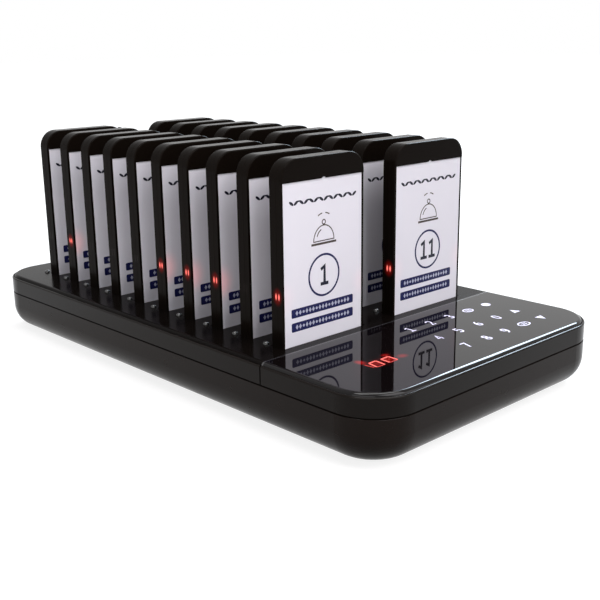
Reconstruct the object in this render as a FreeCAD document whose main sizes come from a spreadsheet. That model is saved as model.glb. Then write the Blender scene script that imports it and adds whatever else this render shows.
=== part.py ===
import FreeCAD, Part
import math
import os
import re
import Sketcher

# A table-top charging base with twenty guest pagers standing in two rows and a touch keypad
# in front of them.  Millimetres, +Z up, origin under the middle of the base, keypad to -Y.

SIZES = {
    # charging base
    "side_margin": 19.2, "rear_strip": 26.6, "corner_radius": 22, "bottom_round": 13,
    "shell_wall": 2.4, "foot_stand": 1, "deck_height": 32, "parting_chamfer": 0.12,
    "reveal_height": 0.7, "reveal_depth": 0.8,
    "rim_drop": 1.2, "rim_lip": 0.9, "rim_round": 0.8,
    "panel_gap": 0.3, "panel_thickness": 2.2, "panel_round": 2.0,
    "ledge_reach": 8, "ledge_thickness": 2, "seam_gap": 0.7, "seam_rib": 2.6, "trim_width": 0.9,
    "keypad_length": 64.7,
    # rows of pagers and their wells
    "centre_aisle": 21.2, "pager_pitch": 21.2, "pagers_per_row": 10, "first_pager_gap": 6.1,
    "well_depth": 14, "well_clearance": 0.4, "well_wall": 1.2, "well_floor": 1.5,
    "tray_plate": 1.5, "tray_margin": 2, "pin_reach": 2.4,
    # pager
    "pager_width": 50.2, "pager_height": 95, "pager_thickness": 7.8, "pager_corner": 9,
    "pager_foot_corner": 3, "pager_edge": 0.6, "pager_wall": 1.2, "pager_groove": 0.1,
    "front_wall": 0.75, "bezel_step": 0.5, "top_bar": 9.8, "label_foot": 6.2,
    "window_thickness": 0.6, "card_thickness": 0.25, "card_clearance": 0.1,
    "tab_radius": 1.8, "tab_rise": 0.7,
    "guide_height": 36.6, "guide_length": 3.8, "slit_width": 1, "slit_inset": 0.4,
    "board_side": 7.1, "board_head": 9, "board_start": 4, "board_thickness": 0.8,
    "led_length": 1.6, "led_depth": 0.8, "led_gap": 0.2,
    "battery_side": 8.1, "battery_head": 10, "battery_gap": 0.5, "battery_start": 43,
    "motor_radius": 5, "motor_gap": 1, "motor_height": 24, "motor_offset": 8,
    "contact_spacing": 16, "contact_width": 5, "contact_back": 0.7, "contact_height": 8,
    "pager_screw_side": 4.1, "pager_screw_low": 17, "pager_screw_drop": 11,
    "pager_screw_radius": 0.8, "pager_screw_head": 1.5, "pager_head_depth": 0.7,
    "pager_boss_radius": 1.9, "pager_screw_length": 4.2,
    # parts in the base
    "pin_radius": 1, "pin_clearance": 0.2, "contact_gap": 0.1,
    "indicator_radius": 1.5, "indicator_rise": 1.4, "indicator_side": 0.5,
    "indicator_gap": 0.1, "indicator_body": 5, "lead_width": 0.5, "lead_spacing": 1.4,
    "hole_clearance": 0.06,
    "base_board": 1.6, "charging_board_side": 12, "charging_board_back": 8,
    "charging_board_front": 5,
    "guide_plate": 2, "touch_board": 1.2, "guide_left": 25, "guide_right": 17.5,
    "guide_front": 12, "guide_back": 7.5, "guide_gap": 0.3,
    "display_inset": 15.7, "display_drop": 25, "display_width": 22.5, "display_length": 14,
    "display_depth": 7,
    "control_board_side": 18, "control_board_front": 10, "control_board_back": 5.5,
    "post_radius": 3, "post_inset": 6, "board_screw_radius": 1.25, "board_screw_head": 2.4,
    "board_screw_cap": 1.6, "board_screw_length": 6,
    "ribbon_thickness": 0.5, "ribbon_width": 16, "buzzer_radius": 4.5, "buzzer_height": 5,
    "foot_radius": 7, "foot_recess": 0.9, "foot_side": 22, "foot_end": 23,
    "case_screw_radius": 1.5, "case_screw_head": 2.8, "case_screw_cap": 2,
    "case_screw_seat": 4, "case_screw_length": 15, "boss_radius": 3.3, "boss_side": 16,
    "front_boss_gap": 1.7, "front_boss_setback": 33, "boss_gap_share": 0.66,
    "inlet_x": 40, "inlet_margin": 1, "inlet_width": 9, "inlet_height": 6.8, "inlet_depth": 13,
    "inlet_barrel": 3.3, "inlet_bore": 2.85, "inlet_bore_depth": 9, "inlet_pin": 1,
    # antenna
    "antenna_setback": 13.6, "jack_radius": 3.1, "jack_rise": 6.5, "jack_nut": 4.4,
    "jack_nut_height": 2, "jack_shoulder": 4.5, "jack_shoulder_height": 1,
    "radio_width": 26, "radio_length": 9, "radio_height": 3.4,
    "collar_radius": 4.6, "collar_height": 8.2, "collar_clearance": 0.1, "collar_ribs": 24,
    "knuckle_radius": 4.2, "knuckle_height": 4.6, "hinge_rise": 4.6, "ear_radius": 3.6,
    "tongue_width": 4, "tongue_clearance": 0.2, "hinge_pin": 1.2, "hinge_clearance": 0.05,
    "whip_start": 4.3, "whip_foot": 4.2, "whip_tip": 2, "antenna_height": 78,
}

# Sizes that follow from others: a base grows with what it carries.
FOLLOWING = {
    "row_spacing": "(pager_width + centre_aisle)",
    "base_width": "(row_spacing + pager_width + 2 * side_margin)",
    "base_length": "(keypad_length + first_pager_gap + pager_pitch * (pagers_per_row - 1)"
                   " + pager_thickness + rear_strip)",
    "front_depth": "(bezel_step + window_thickness + card_thickness + front_wall"
                   " + slit_width + slit_inset)",
    "board_width": "(pager_width - 2 * board_side)",
    "battery_width": "(pager_width - 2 * battery_side)",
}

doc = FreeCAD.newDocument("guest_pager_system")
sheet = doc.addObject("Spreadsheet::Sheet", "Sizes")
for row, (size_name, size_value) in enumerate(SIZES.items(), start=1):
    sheet.set("A%d" % row, size_name)
    sheet.set("B%d" % row, str(size_value))
    sheet.setAlias("B%d" % row, size_name)
doc.recompute()

# Levels and lines that several pieces share, as expressions over the sheet.
FRONT = "(-base_length / 2)"
BACK = "(base_length / 2)"
SEAM = "(keypad_length - base_length / 2)"
SHELL_UNDER = "foot_stand"
FLOOR = "(foot_stand + shell_wall)"
RIM = "(deck_height - rim_drop)"
PANEL_UNDER = "(deck_height - panel_thickness)"
LEDGE_UNDER = "(deck_height - panel_thickness - ledge_thickness)"
PANEL_INSET = "(rim_lip + panel_gap)"
PAGER_FOOT = "(deck_height - well_depth)"
BOARD_TOP = "(deck_height - well_depth - well_floor - pin_reach)"
BOARD_UNDER = "(deck_height - well_depth - well_floor - pin_reach - base_board)"
PARTING = "(%s + inlet_height + inlet_margin)" % BOARD_TOP
FIRST_FACE = "(keypad_length - base_length / 2 + first_pager_gap)"
LAST_FACE = "(%s + pager_pitch * (pagers_per_row - 1))" % FIRST_FACE
WELL_MARGIN = "(well_clearance + well_wall)"
ROW_CENTRES = ("(-row_spacing / 2)", "(row_spacing / 2)")
LABEL_TOP = "(pager_height - top_bar)"
LABEL_HALF = "(pager_width / 2 - pager_wall)"
RECESS = "(bezel_step + window_thickness + card_thickness)"
CAVITY = "(bezel_step + window_thickness + card_thickness + front_wall)"
BOARD_BACK = "(%s + board_thickness)" % CAVITY
BACK_INNER = "(pager_thickness - pager_wall)"
CONTACT_BACK = "(%s - contact_back)" % BACK_INNER
LAMP_BACK = "(pager_thickness + well_clearance + well_wall + indicator_gap + indicator_radius)"
ROW_COUNT = int(SIZES["pagers_per_row"])
ANTENNA_Y = "(base_length / 2 - antenna_setback)"
HINGE_Z = ("(deck_height + jack_shoulder_height + collar_height + knuckle_height + hinge_rise)")

PAST = 1  # how far a cutting shape reaches past the face it opens


def sized(expression):
    """The expression over the sheet, with each size's full name and following sizes worked in."""
    def full(word):
        name = word.group()
        if name in FOLLOWING:
            return sized(FOLLOWING[name])
        return "Sizes." + name if name in SIZES else name
    return re.sub("[a-z][a-z_]*", full, str(expression))


def number(expression):
    """The present value of an expression over the sheet."""
    return float(sheet.evalExpression(sized(expression)))


def bind(thing, **properties):
    """Tie properties of a document object to expressions over the sheet."""
    for name, expression in properties.items():
        thing.setExpression(name.replace("__", "."), sized(expression))
    return thing


def place(thing, x=0, y=0, z=0):
    return bind(thing, Placement__Base__x=x, Placement__Base__y=y, Placement__Base__z=z)


# ---------------------------------------------------------------- sketches and features

class Profile:
    """A sketch on one of a body's origin planes, with each line and circle tied to the sheet.

    On XY_Plane level is a height; on XZ_Plane the sketch's y is Z and level is a Y; on YZ_Plane
    the sketch's x is Y, its y is Z and level is an X.
    """

    def __init__(self, body, name, level, plane="XY_Plane"):
        self.sketch = body.newObject("Sketcher::SketchObject", name)
        origin_plane = [item for item in body.Origin.OriginFeatures if item.Role == plane][0]
        self.sketch.AttachmentSupport = [(origin_plane, "")]
        self.sketch.MapMode = "FlatFace"
        sign = "-" if plane == "XZ_Plane" else ""
        bind(self.sketch, AttachmentOffset__Base__z="%s(%s)" % (sign, level))

    def tie(self, kind, geometry, expression):
        """Add a dimension and bind it to its expression."""
        references = {"Radius": (geometry,), "X": (-1, 1, geometry, 1), "Y": (-1, 1, geometry, 1),
                      "CentreX": (-1, 1, geometry, 3), "CentreY": (-1, 1, geometry, 3)}[kind]
        constraint = {"Radius": "Radius", "X": "DistanceX", "Y": "DistanceY",
                      "CentreX": "DistanceX", "CentreY": "DistanceY"}[kind]
        index = self.sketch.addConstraint(
            Sketcher.Constraint(constraint, *references, number(expression)))
        name = "%s_%d" % (kind, index)
        self.sketch.renameConstraint(index, name)
        self.sketch.setExpression("Constraints." + name, sized(expression))

    def rectangle(self, x_low, x_high, y_low, y_high, low_radius=None, high_radius=None):
        """A rectangle whose two low-y and two high-y corners may be rounded."""
        left, right, low, high = (number(side) for side in (x_low, x_high, y_low, y_high))
        corners = [(left, low, 1, 1, low_radius), (right, low, -1, 1, low_radius),
                   (right, high, -1, -1, high_radius), (left, high, 1, -1, high_radius)]
        radii = [0 if corner[4] is None else number(corner[4]) for corner in corners]
        starts, ends = [], []
        for index in range(4):
            x, y, to_x, to_y, _ = corners[index]
            along_x = index % 2 == 0
            starts.append(FreeCAD.Vector(x + (radii[index] * to_x if along_x else 0),
                                         y + (0 if along_x else radii[index] * to_y), 0))
            ends.append(FreeCAD.Vector(x + (0 if along_x else radii[index] * to_x),
                                       y + (radii[index] * to_y if along_x else 0), 0))
        lines = [self.sketch.addGeometry(Part.LineSegment(starts[index], ends[(index + 1) % 4]))
                 for index in range(4)]
        first_arc = {}
        for index, (x, y, to_x, to_y, radius) in enumerate(corners):
            before, after = lines[index - 1], lines[index]
            if radius is None:
                self.sketch.addConstraint(Sketcher.Constraint("Coincident", before, 2, after, 1))
                continue
            centre = FreeCAD.Vector(x + radii[index] * to_x, y + radii[index] * to_y, 0)
            circle = Part.Circle(centre, FreeCAD.Vector(0, 0, 1), radii[index])
            from_angle = math.pi + index * math.pi / 2
            arc = self.sketch.addGeometry(
                Part.ArcOfCircle(circle, from_angle, from_angle + math.pi / 2))
            self.sketch.addConstraint([Sketcher.Constraint("Tangent", before, 2, arc, 1),
                                       Sketcher.Constraint("Tangent", arc, 2, after, 1)])
            if radius in first_arc:
                self.sketch.addConstraint(Sketcher.Constraint("Equal", first_arc[radius], arc))
            else:
                self.tie("Radius", arc, radius)
                first_arc[radius] = arc
        self.sketch.addConstraint([Sketcher.Constraint("Horizontal", lines[0]),
                                   Sketcher.Constraint("Vertical", lines[1]),
                                   Sketcher.Constraint("Horizontal", lines[2]),
                                   Sketcher.Constraint("Vertical", lines[3])])
        self.tie("Y", lines[0], y_low)
        self.tie("X", lines[1], x_high)
        self.tie("Y", lines[2], y_high)
        self.tie("X", lines[3], x_low)
        return self

    def circle(self, x, y, radius):
        centre = FreeCAD.Vector(number(x), number(y), 0)
        ring = self.sketch.addGeometry(
            Part.Circle(centre, FreeCAD.Vector(0, 0, 1), number(radius)))
        self.tie("CentreX", ring, x)
        self.tie("CentreY", ring, y)
        self.tie("Radius", ring, radius)
        return self


def new_body(label):
    body = doc.addObject("PartDesign::Body", label)
    body.Label = label
    return body


def volume_of(body):
    return body.Shape.Volume if body.Tip else 0.0


def add_feature(body, kind, name, profile, length, backwards, both_ways, gains):
    """Add a pad or a pocket and make sure that it adds or removes material."""
    before = volume_of(body)
    feature = body.newObject(kind, name)
    feature.Profile = profile.sketch
    feature.Reversed = backwards
    feature.Midplane = both_ways
    if length is None:
        feature.Type = "ThroughAll"
    else:
        bind(feature, Length=length)
    profile.sketch.Visibility = False
    doc.recompute()
    change = body.Shape.Volume - before
    if (change <= 0) == gains:
        raise RuntimeError("%s in %s changes nothing" % (name, body.Label))
    return feature


def pad(body, name, profile, length, backwards=False):
    return add_feature(body, "PartDesign::Pad", name, profile, length, backwards, False, True)


def pocket(body, name, profile, length=None, backwards=False, both_ways=False):
    return add_feature(body, "PartDesign::Pocket", name, profile, length, backwards,
                       both_ways, False)


def soften(body, name, kind, size_property, size, chooses):
    """Fillet or chamfer the edges of the body's tip that the test chooses."""
    tip = body.Tip
    names = ["Edge%d" % (index + 1) for index, edge in enumerate(tip.Shape.Edges)
             if chooses(edge)]
    feature = body.newObject(kind, name)
    feature.Base = (tip, names)
    bind(feature, **{size_property: size})
    doc.recompute()
    return feature


def fillet(body, name, radius, chooses):
    return soften(body, name, "PartDesign::Fillet", "Radius", radius, chooses)


def chamfer(body, name, size, chooses):
    return soften(body, name, "PartDesign::Chamfer", "Size", size, chooses)


def repeat_along_rows(body, name, features):
    """Repeat features of the first pager's place at every place along the rows."""
    pattern = body.newObject("PartDesign::LinearPattern", name)
    pattern.Originals = features
    y_axis = [item for item in body.Origin.OriginFeatures if item.Role == "Y_Axis"][0]
    pattern.Direction = (y_axis, [""])
    bind(pattern, Length="pager_pitch * (pagers_per_row - 1)", Occurrences="pagers_per_row")
    body.Tip = pattern
    doc.recompute()
    return pattern


def lies_at(axis, expression):
    """A test for edges that lie wholly in the plane axis = expression."""
    level = number(expression)

    def test(edge):
        box = edge.BoundBox
        low, high = getattr(box, axis + "Min"), getattr(box, axis + "Max")
        return abs(low - level) < 1e-4 and abs(high - level) < 1e-4
    return test


# ---------------------------------------------------------------- primitives and groups

def box(name, x_low, x_high, y_low, y_high, z_low, z_high):
    solid = doc.addObject("Part::Box", name)
    bind(solid, Length="(%s) - (%s)" % (x_high, x_low), Width="(%s) - (%s)" % (y_high, y_low),
         Height="(%s) - (%s)" % (z_high, z_low))
    return place(solid, x_low, y_low, z_low)


def cylinder(name, radius, height, x=0, y=0, z=0, turn=None):
    """A cylinder from its foot along +Z, or along the direction that turn points Z to."""
    solid = doc.addObject("Part::Cylinder", name)
    bind(solid, Radius=radius, Height=height)
    if turn is not None:
        solid.Placement = FreeCAD.Placement(
            FreeCAD.Vector(), FreeCAD.Rotation(FreeCAD.Vector(0, 0, 1), FreeCAD.Vector(*turn)))
    return place(solid, x, y, z)


def group(label, members):
    """Separate solids that share one node."""
    compound = doc.addObject("Part::Compound", label)
    compound.Label = label
    compound.Links = members
    return compound


def fuse(name, members):
    fusion = doc.addObject("Part::MultiFuse", name)
    fusion.Shapes = members
    return fusion


def cut(name, base, tools):
    difference = doc.addObject("Part::Cut", name)
    difference.Base = base
    difference.Tool = tools[0] if len(tools) == 1 else fuse(name + "Tools", tools)
    return difference


def named(thing, label):
    thing.Label = label
    return thing


# ---------------------------------------------------------------- charging base: shells

def board_post_places():
    """Where the control board's four posts stand."""
    for side in ("-", "+"):
        for y in ("(%s + control_board_front + post_inset)" % FRONT,
                  "(%s - control_board_back - post_inset)" % SEAM):
            yield "(0 %s (base_width / 2 - control_board_side - post_inset))" % side, y


def gap_after(pager):
    """The Y of the screw boss behind a pager of the first row, counted from 0."""
    return ("(%s + pager_pitch * %s + pager_thickness + "
            "(pager_pitch - pager_thickness) * boss_gap_share)" % (FIRST_FACE, pager))


def rear_boss_places():
    for side in ("-", "+"):
        for pager in ("1", "(pagers_per_row - 2)"):
            yield "(0 %s (base_width / 2 - boss_side))" % side, gap_after(pager)


def front_boss_places():
    for side in ("-", "+"):
        yield ("(0 %s (base_width / 2 - control_board_side + front_boss_gap + boss_radius))" % side,
               "(%s + front_boss_setback)" % FRONT)


def foot_places():
    for side in ("-", "+"):
        for y in ("(%s + foot_end)" % FRONT, "(%s - foot_end)" % BACK):
            yield "(0 %s (base_width / 2 - foot_side))" % side, y


def make_lower_shell():
    body = new_body("lower_shell")
    outline = Profile(body, "LowerOutline", SHELL_UNDER)
    outline.rectangle("-base_width / 2", "base_width / 2", FRONT, BACK,
                      "corner_radius", "corner_radius")
    pad(body, "LowerBlock", outline, "%s - %s" % (PARTING, SHELL_UNDER))
    fillet(body, "BottomRound", "bottom_round", lies_at("Z", SHELL_UNDER))
    block = body.Tip
    top = ["Face%d" % (index + 1) for index, face in enumerate(block.Shape.Faces)
           if face.BoundBox.ZMin > number(PARTING) - 1e-4]
    hollow = body.newObject("PartDesign::Thickness", "Hollow")
    hollow.Base = (block, top)
    hollow.Join = "Arc"
    hollow.Reversed = True
    bind(hollow, Value="shell_wall")
    doc.recompute()

    board_posts = Profile(body, "BoardPosts", "(%s - shell_wall / 2)" % FLOOR)
    for x, y in board_post_places():
        board_posts.circle(x, y, "post_radius")
    pad(body, "BoardPostPad", board_posts, "%s - %s + shell_wall / 2" % (BOARD_UNDER, FLOOR))
    screw_holes = Profile(body, "BoardPostHoles", BOARD_UNDER)
    for x, y in board_post_places():
        screw_holes.circle(x, y, "board_screw_radius + hole_clearance")
    pocket(body, "BoardPostHolePocket", screw_holes, "board_screw_length")

    tubes = Profile(body, "ScrewTubes", "(%s - shell_wall / 2)" % FLOOR)
    for x, y in list(rear_boss_places()) + list(front_boss_places()):
        tubes.circle(x, y, "case_screw_head + shell_wall / 2")
    pad(body, "ScrewTubePad", tubes, "%s - %s + shell_wall / 2" % (BOARD_UNDER, FLOOR))
    shank_holes = Profile(body, "ShankHoles", BOARD_UNDER)
    head_holes = Profile(body, "HeadHoles", SHELL_UNDER)
    for x, y in list(rear_boss_places()) + list(front_boss_places()):
        shank_holes.circle(x, y, "case_screw_radius + pin_clearance")
        head_holes.circle(x, y, "case_screw_head + pin_clearance")
    pocket(body, "ShankHolePocket", shank_holes, "%s - %s" % (BOARD_UNDER, SHELL_UNDER))
    pocket(body, "HeadHolePocket", head_holes, "case_screw_seat", backwards=True)

    feet = Profile(body, "FootRecesses", SHELL_UNDER)
    for x, y in foot_places():
        feet.circle(x, y, "foot_radius")
    pocket(body, "FootPocket", feet, "foot_recess", backwards=True)

    inlet = Profile(body, "InletHole", BACK, "XZ_Plane")
    inlet.circle("-inlet_x", "(%s + inlet_height / 2)" % BOARD_TOP, "inlet_barrel + hole_clearance")
    pocket(body, "InletPocket", inlet, "shell_wall * 2", backwards=True)

    parting = lies_at("Z", PARTING)
    half, back = number("base_width / 2"), number(BACK)
    corner = number("base_width / 2 - corner_radius"), number("base_length / 2 - corner_radius")

    def outer_parting_edge(edge):
        middle = edge.valueAt((edge.FirstParameter + edge.LastParameter) / 2)
        beyond = math.hypot(max(abs(middle.x) - corner[0], 0), max(abs(middle.y) - corner[1], 0))
        return parting(edge) and beyond > number("corner_radius") - 1e-3
    if half < corner[0] or back < corner[1]:
        raise RuntimeError("the corners are larger than the base")
    chamfer(body, "PartingEdge", "parting_chamfer", outer_parting_edge)
    return body


def make_upper_shell(label, y_low, y_high, low_radius, high_radius, opening, lip_y, screw_bosses):
    """One of the two frames that carry the glossy panels.

    opening is the window through the frame and lip_y the Y span of the rebate for the panel.
    """
    body = new_body(label)
    inner = {"y_low": "(%s + %s)" % (y_low, "shell_wall" if low_radius else "seam_rib"),
             "y_high": "(%s - %s)" % (y_high, "shell_wall" if high_radius else "seam_rib")}
    foot = Profile(body, "FrameFoot", PARTING)
    foot.rectangle("-(base_width / 2 - reveal_depth)", "base_width / 2 - reveal_depth",
                   "(%s + reveal_depth)" % y_low if low_radius else y_low,
                   "(%s - reveal_depth)" % y_high if high_radius else y_high,
                   low_radius and "(%s - reveal_depth)" % low_radius,
                   high_radius and "(%s - reveal_depth)" % high_radius)
    pad(body, "FrameFootPad", foot, "reveal_height")
    outline = Profile(body, "FrameOutline", "(%s + reveal_height)" % PARTING)
    outline.rectangle("-base_width / 2", "base_width / 2", y_low, y_high, low_radius, high_radius)
    pad(body, "FrameBlock", outline, "%s - %s - reveal_height" % (RIM, PARTING))
    inside = Profile(body, "FrameInside", PARTING)
    inside.rectangle("-(base_width / 2 - shell_wall)", "base_width / 2 - shell_wall",
                     inner["y_low"], inner["y_high"],
                     low_radius and "(%s - shell_wall)" % low_radius,
                     high_radius and "(%s - shell_wall)" % high_radius)
    pocket(body, "FrameHollow", inside, "%s - %s" % (LEDGE_UNDER, PARTING), backwards=True)
    window = Profile(body, "FrameWindow", RIM)
    window.rectangle(*opening)
    pocket(body, "FrameWindowPocket", window)
    rebate = Profile(body, "PanelRebate", RIM)
    rebate.rectangle("-(base_width / 2 - rim_lip)", "base_width / 2 - rim_lip", *lip_y,
                     low_radius and "(%s - rim_lip)" % low_radius,
                     high_radius and "(%s - rim_lip)" % high_radius)
    pocket(body, "PanelRebatePocket", rebate, "%s - %s" % (RIM, PANEL_UNDER))
    if screw_bosses:
        bosses = Profile(body, "FrameBosses", BOARD_UNDER)
        holes = Profile(body, "FrameBossHoles", BOARD_UNDER)
        for x, y in screw_bosses:
            bosses.circle(x, y, "boss_radius")
            holes.circle(x, y, "case_screw_radius + hole_clearance")
        pad(body, "FrameBossPad", bosses,
            "%s - %s + ledge_thickness / 2" % (LEDGE_UNDER, BOARD_UNDER))
        pocket(body, "FrameBossHolePocket", holes, "case_screw_length * 0.75", backwards=True)

    rim = lies_at("Z", RIM)
    limits = [number(y_low), number(y_high)]

    def outer(edge):
        """Whether an edge runs along the outer wall rather than along the seam or inside."""
        middle = edge.valueAt((edge.FirstParameter + edge.LastParameter) / 2)
        half, radius = number("base_width / 2"), number("corner_radius")
        reach = math.hypot(max(abs(middle.x) - half + radius, 0),
                           max(abs(middle.y) - number(BACK) + radius, 0))
        away = min(abs(middle.y - limit) for limit, round_corner in
                   zip(limits, (low_radius, high_radius)) if not round_corner) > 1e-3
        return abs(reach - radius) < 1e-3 and away
    fillet(body, "RimRound", "rim_round", lambda edge: rim(edge) and outer(edge))
    return body


def make_rear_upper_shell():
    y_low = "(%s + seam_gap / 2)" % SEAM
    opening = ("-(base_width / 2 - ledge_reach)", "base_width / 2 - ledge_reach",
               "(%s + seam_rib)" % y_low, "(%s - ledge_reach)" % BACK,
               None, "(corner_radius - ledge_reach)")
    return make_upper_shell("rear_upper_shell", y_low, BACK, None, "corner_radius", opening,
                            ("(%s - %d)" % (SEAM, PAST), "(%s - rim_lip)" % BACK), [])


KEY_PLATE = {"x_low": "-(base_width / 2 - guide_left)", "x_high": "(base_width / 2 - guide_right)",
             "y_low": "(%s + guide_front)" % FRONT, "y_high": "(%s - guide_back)" % SEAM}


def make_front_upper_shell():
    y_high = "(%s - seam_gap / 2)" % SEAM
    opening = ("(%(x_low)s - guide_gap)" % KEY_PLATE, "(%(x_high)s + guide_gap)" % KEY_PLATE,
               "(%(y_low)s - guide_gap)" % KEY_PLATE, "(%(y_high)s + guide_gap)" % KEY_PLATE)
    return make_upper_shell("front_upper_shell", FRONT, y_high, "corner_radius", None, opening,
                            ("(%s + rim_lip)" % FRONT, "(%s + %d)" % (SEAM, PAST)),
                            list(front_boss_places()))


def edge_of_panel(square_side):
    """A test for a panel's upper edges, all but the one along the seam."""
    upper, seam = lies_at("Z", "deck_height"), lies_at("Y", square_side)
    return lambda edge: upper(edge) and not seam(edge)


def make_charging_deck():
    body = new_body("charging_deck")
    y_low = "(%s + trim_width / 2)" % SEAM
    outline = Profile(body, "DeckOutline", PANEL_UNDER)
    outline.rectangle("-(base_width / 2 - %s)" % PANEL_INSET, "base_width / 2 - %s" % PANEL_INSET,
                      y_low, "(%s - %s)" % (BACK, PANEL_INSET),
                      None, "(corner_radius - %s)" % PANEL_INSET)
    pad(body, "DeckPlate", outline, "panel_thickness")
    fillet(body, "DeckEdge", "panel_round", edge_of_panel(y_low))
    socket = Profile(body, "AntennaHole", "deck_height")
    socket.circle("0.0", ANTENNA_Y, "jack_radius + hole_clearance")
    pocket(body, "AntennaHolePocket", socket)
    slots = Profile(body, "Slots", "deck_height")
    holes = Profile(body, "IndicatorHoles", "deck_height")
    for centre in ROW_CENTRES:
        slots.rectangle("%s - pager_width / 2 - well_clearance" % centre,
                        "%s + pager_width / 2 + well_clearance" % centre,
                        "%s - well_clearance" % FIRST_FACE,
                        "%s + pager_thickness + well_clearance" % FIRST_FACE)
        holes.circle("%s - pager_width / 2 - indicator_side" % centre,
                     "%s + %s" % (FIRST_FACE, LAMP_BACK),
                     "indicator_radius + hole_clearance")
    slot_pocket = pocket(body, "SlotPocket", slots)
    hole_pocket = pocket(body, "IndicatorHolePocket", holes)
    repeat_along_rows(body, "SlotRows", [slot_pocket, hole_pocket])
    return body


def make_keypad_panel():
    body = new_body("keypad_panel")
    y_high = "(%s - trim_width / 2)" % SEAM
    outline = Profile(body, "GlassOutline", PANEL_UNDER)
    outline.rectangle("-(base_width / 2 - %s)" % PANEL_INSET, "base_width / 2 - %s" % PANEL_INSET,
                      "(%s + %s)" % (FRONT, PANEL_INSET), y_high,
                      "(corner_radius - %s)" % PANEL_INSET, None)
    pad(body, "GlassPlate", outline, "panel_thickness")
    fillet(body, "GlassEdge", "panel_round", edge_of_panel(y_high))
    return body


def make_seam_trim():
    body = new_body("seam_trim")
    outline = Profile(body, "TrimOutline", PANEL_UNDER)
    outline.rectangle("-(base_width / 2 - %s)" % PANEL_INSET, "base_width / 2 - %s" % PANEL_INSET,
                      "(%s - trim_width / 2)" % SEAM, "(%s + trim_width / 2)" % SEAM)
    pad(body, "TrimStrip", outline, "panel_thickness")
    upper = lies_at("Z", "deck_height")
    half = number("base_width / 2 - %s" % PANEL_INSET)
    fillet(body, "TrimEnds", "panel_round",
           lambda edge: upper(edge) and abs(abs(edge.BoundBox.XMin) - half) < 1e-3
           and abs(edge.BoundBox.XMin - edge.BoundBox.XMax) < 1e-3)
    return body


def make_socket_tray():
    """The tray of wells that hangs under the deck and carries the screw bosses."""
    body = new_body("socket_tray")
    plate = Profile(body, "TrayPlate", PANEL_UNDER)
    plate.rectangle("-(base_width / 2 - ledge_reach - panel_gap)",
                    "base_width / 2 - ledge_reach - panel_gap",
                    "(%s + seam_gap / 2 + seam_rib + panel_gap)" % SEAM,
                    "(%s + pager_thickness + %s + tray_margin)" % (LAST_FACE, WELL_MARGIN))
    pad(body, "TrayPlatePad", plate, "tray_plate", backwards=True)
    bosses = Profile(body, "TrayBosses", BOARD_TOP)
    for x, y in rear_boss_places():
        bosses.circle(x, y, "boss_radius")
    pad(body, "TrayBossPad", bosses, "%s - %s - tray_plate / 2" % (PANEL_UNDER, BOARD_TOP))

    walls = Profile(body, "WellWalls", "(%s - well_floor)" % PAGER_FOOT)
    wells = Profile(body, "Wells", PAGER_FOOT)
    pin_holes = Profile(body, "PinHoles", PAGER_FOOT)
    indicators = Profile(body, "IndicatorHoles", PANEL_UNDER)
    for centre in ROW_CENTRES:
        for profile, margin in ((walls, WELL_MARGIN), (wells, "well_clearance")):
            profile.rectangle("%s - pager_width / 2 - %s" % (centre, margin),
                              "%s + pager_width / 2 + %s" % (centre, margin),
                              "%s - %s" % (FIRST_FACE, margin),
                              "%s + pager_thickness + %s" % (FIRST_FACE, margin))
        for x, y in contact_places(centre):
            pin_holes.circle(x, y, "pin_radius + pin_clearance")
        indicators.circle("%s - pager_width / 2 - indicator_side" % centre,
                          "%s + %s" % (FIRST_FACE, LAMP_BACK),
                          "indicator_radius + hole_clearance")
    wall_pad = pad(body, "WellWallPad", walls, "well_depth + well_floor - panel_thickness")
    well_pocket = pocket(body, "WellPocket", wells, None, backwards=True)
    pin_pocket = pocket(body, "PinHolePocket", pin_holes, "well_floor")
    indicator_pocket = pocket(body, "IndicatorPocket", indicators, "tray_plate")
    repeat_along_rows(body, "WellRows", [wall_pad, well_pocket, pin_pocket, indicator_pocket])

    holes = Profile(body, "TrayBossHoles", BOARD_TOP)
    for x, y in rear_boss_places():
        holes.circle(x, y, "case_screw_radius + hole_clearance")
    pocket(body, "TrayBossHolePocket", holes, "case_screw_length * 0.75", backwards=True)
    return body


def contact_places(centre):
    """Where the two charging contacts of the first pager on a row centre line lie."""
    for side in ("-", "+"):
        yield ("(%s %s contact_spacing / 2)" % (centre, side),
               "(%s + (%s + %s) / 2)" % (FIRST_FACE, BOARD_BACK, CONTACT_BACK))


def along_row(y, place_in_row):
    return "(%s + pager_pitch * %d)" % (y, place_in_row)


# ---------------------------------------------------------------- charging base: inner parts

def make_charge_pins():
    pins = []
    for place_in_row in range(ROW_COUNT):
        for centre in ROW_CENTRES:
            for x, y in contact_places(centre):
                pins.append(cylinder("ChargePin", "pin_radius", "%s - %s" % (PAGER_FOOT, BOARD_TOP),
                                     x, along_row(y, place_in_row), BOARD_TOP))
    return group("charge_pins", pins)


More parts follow.
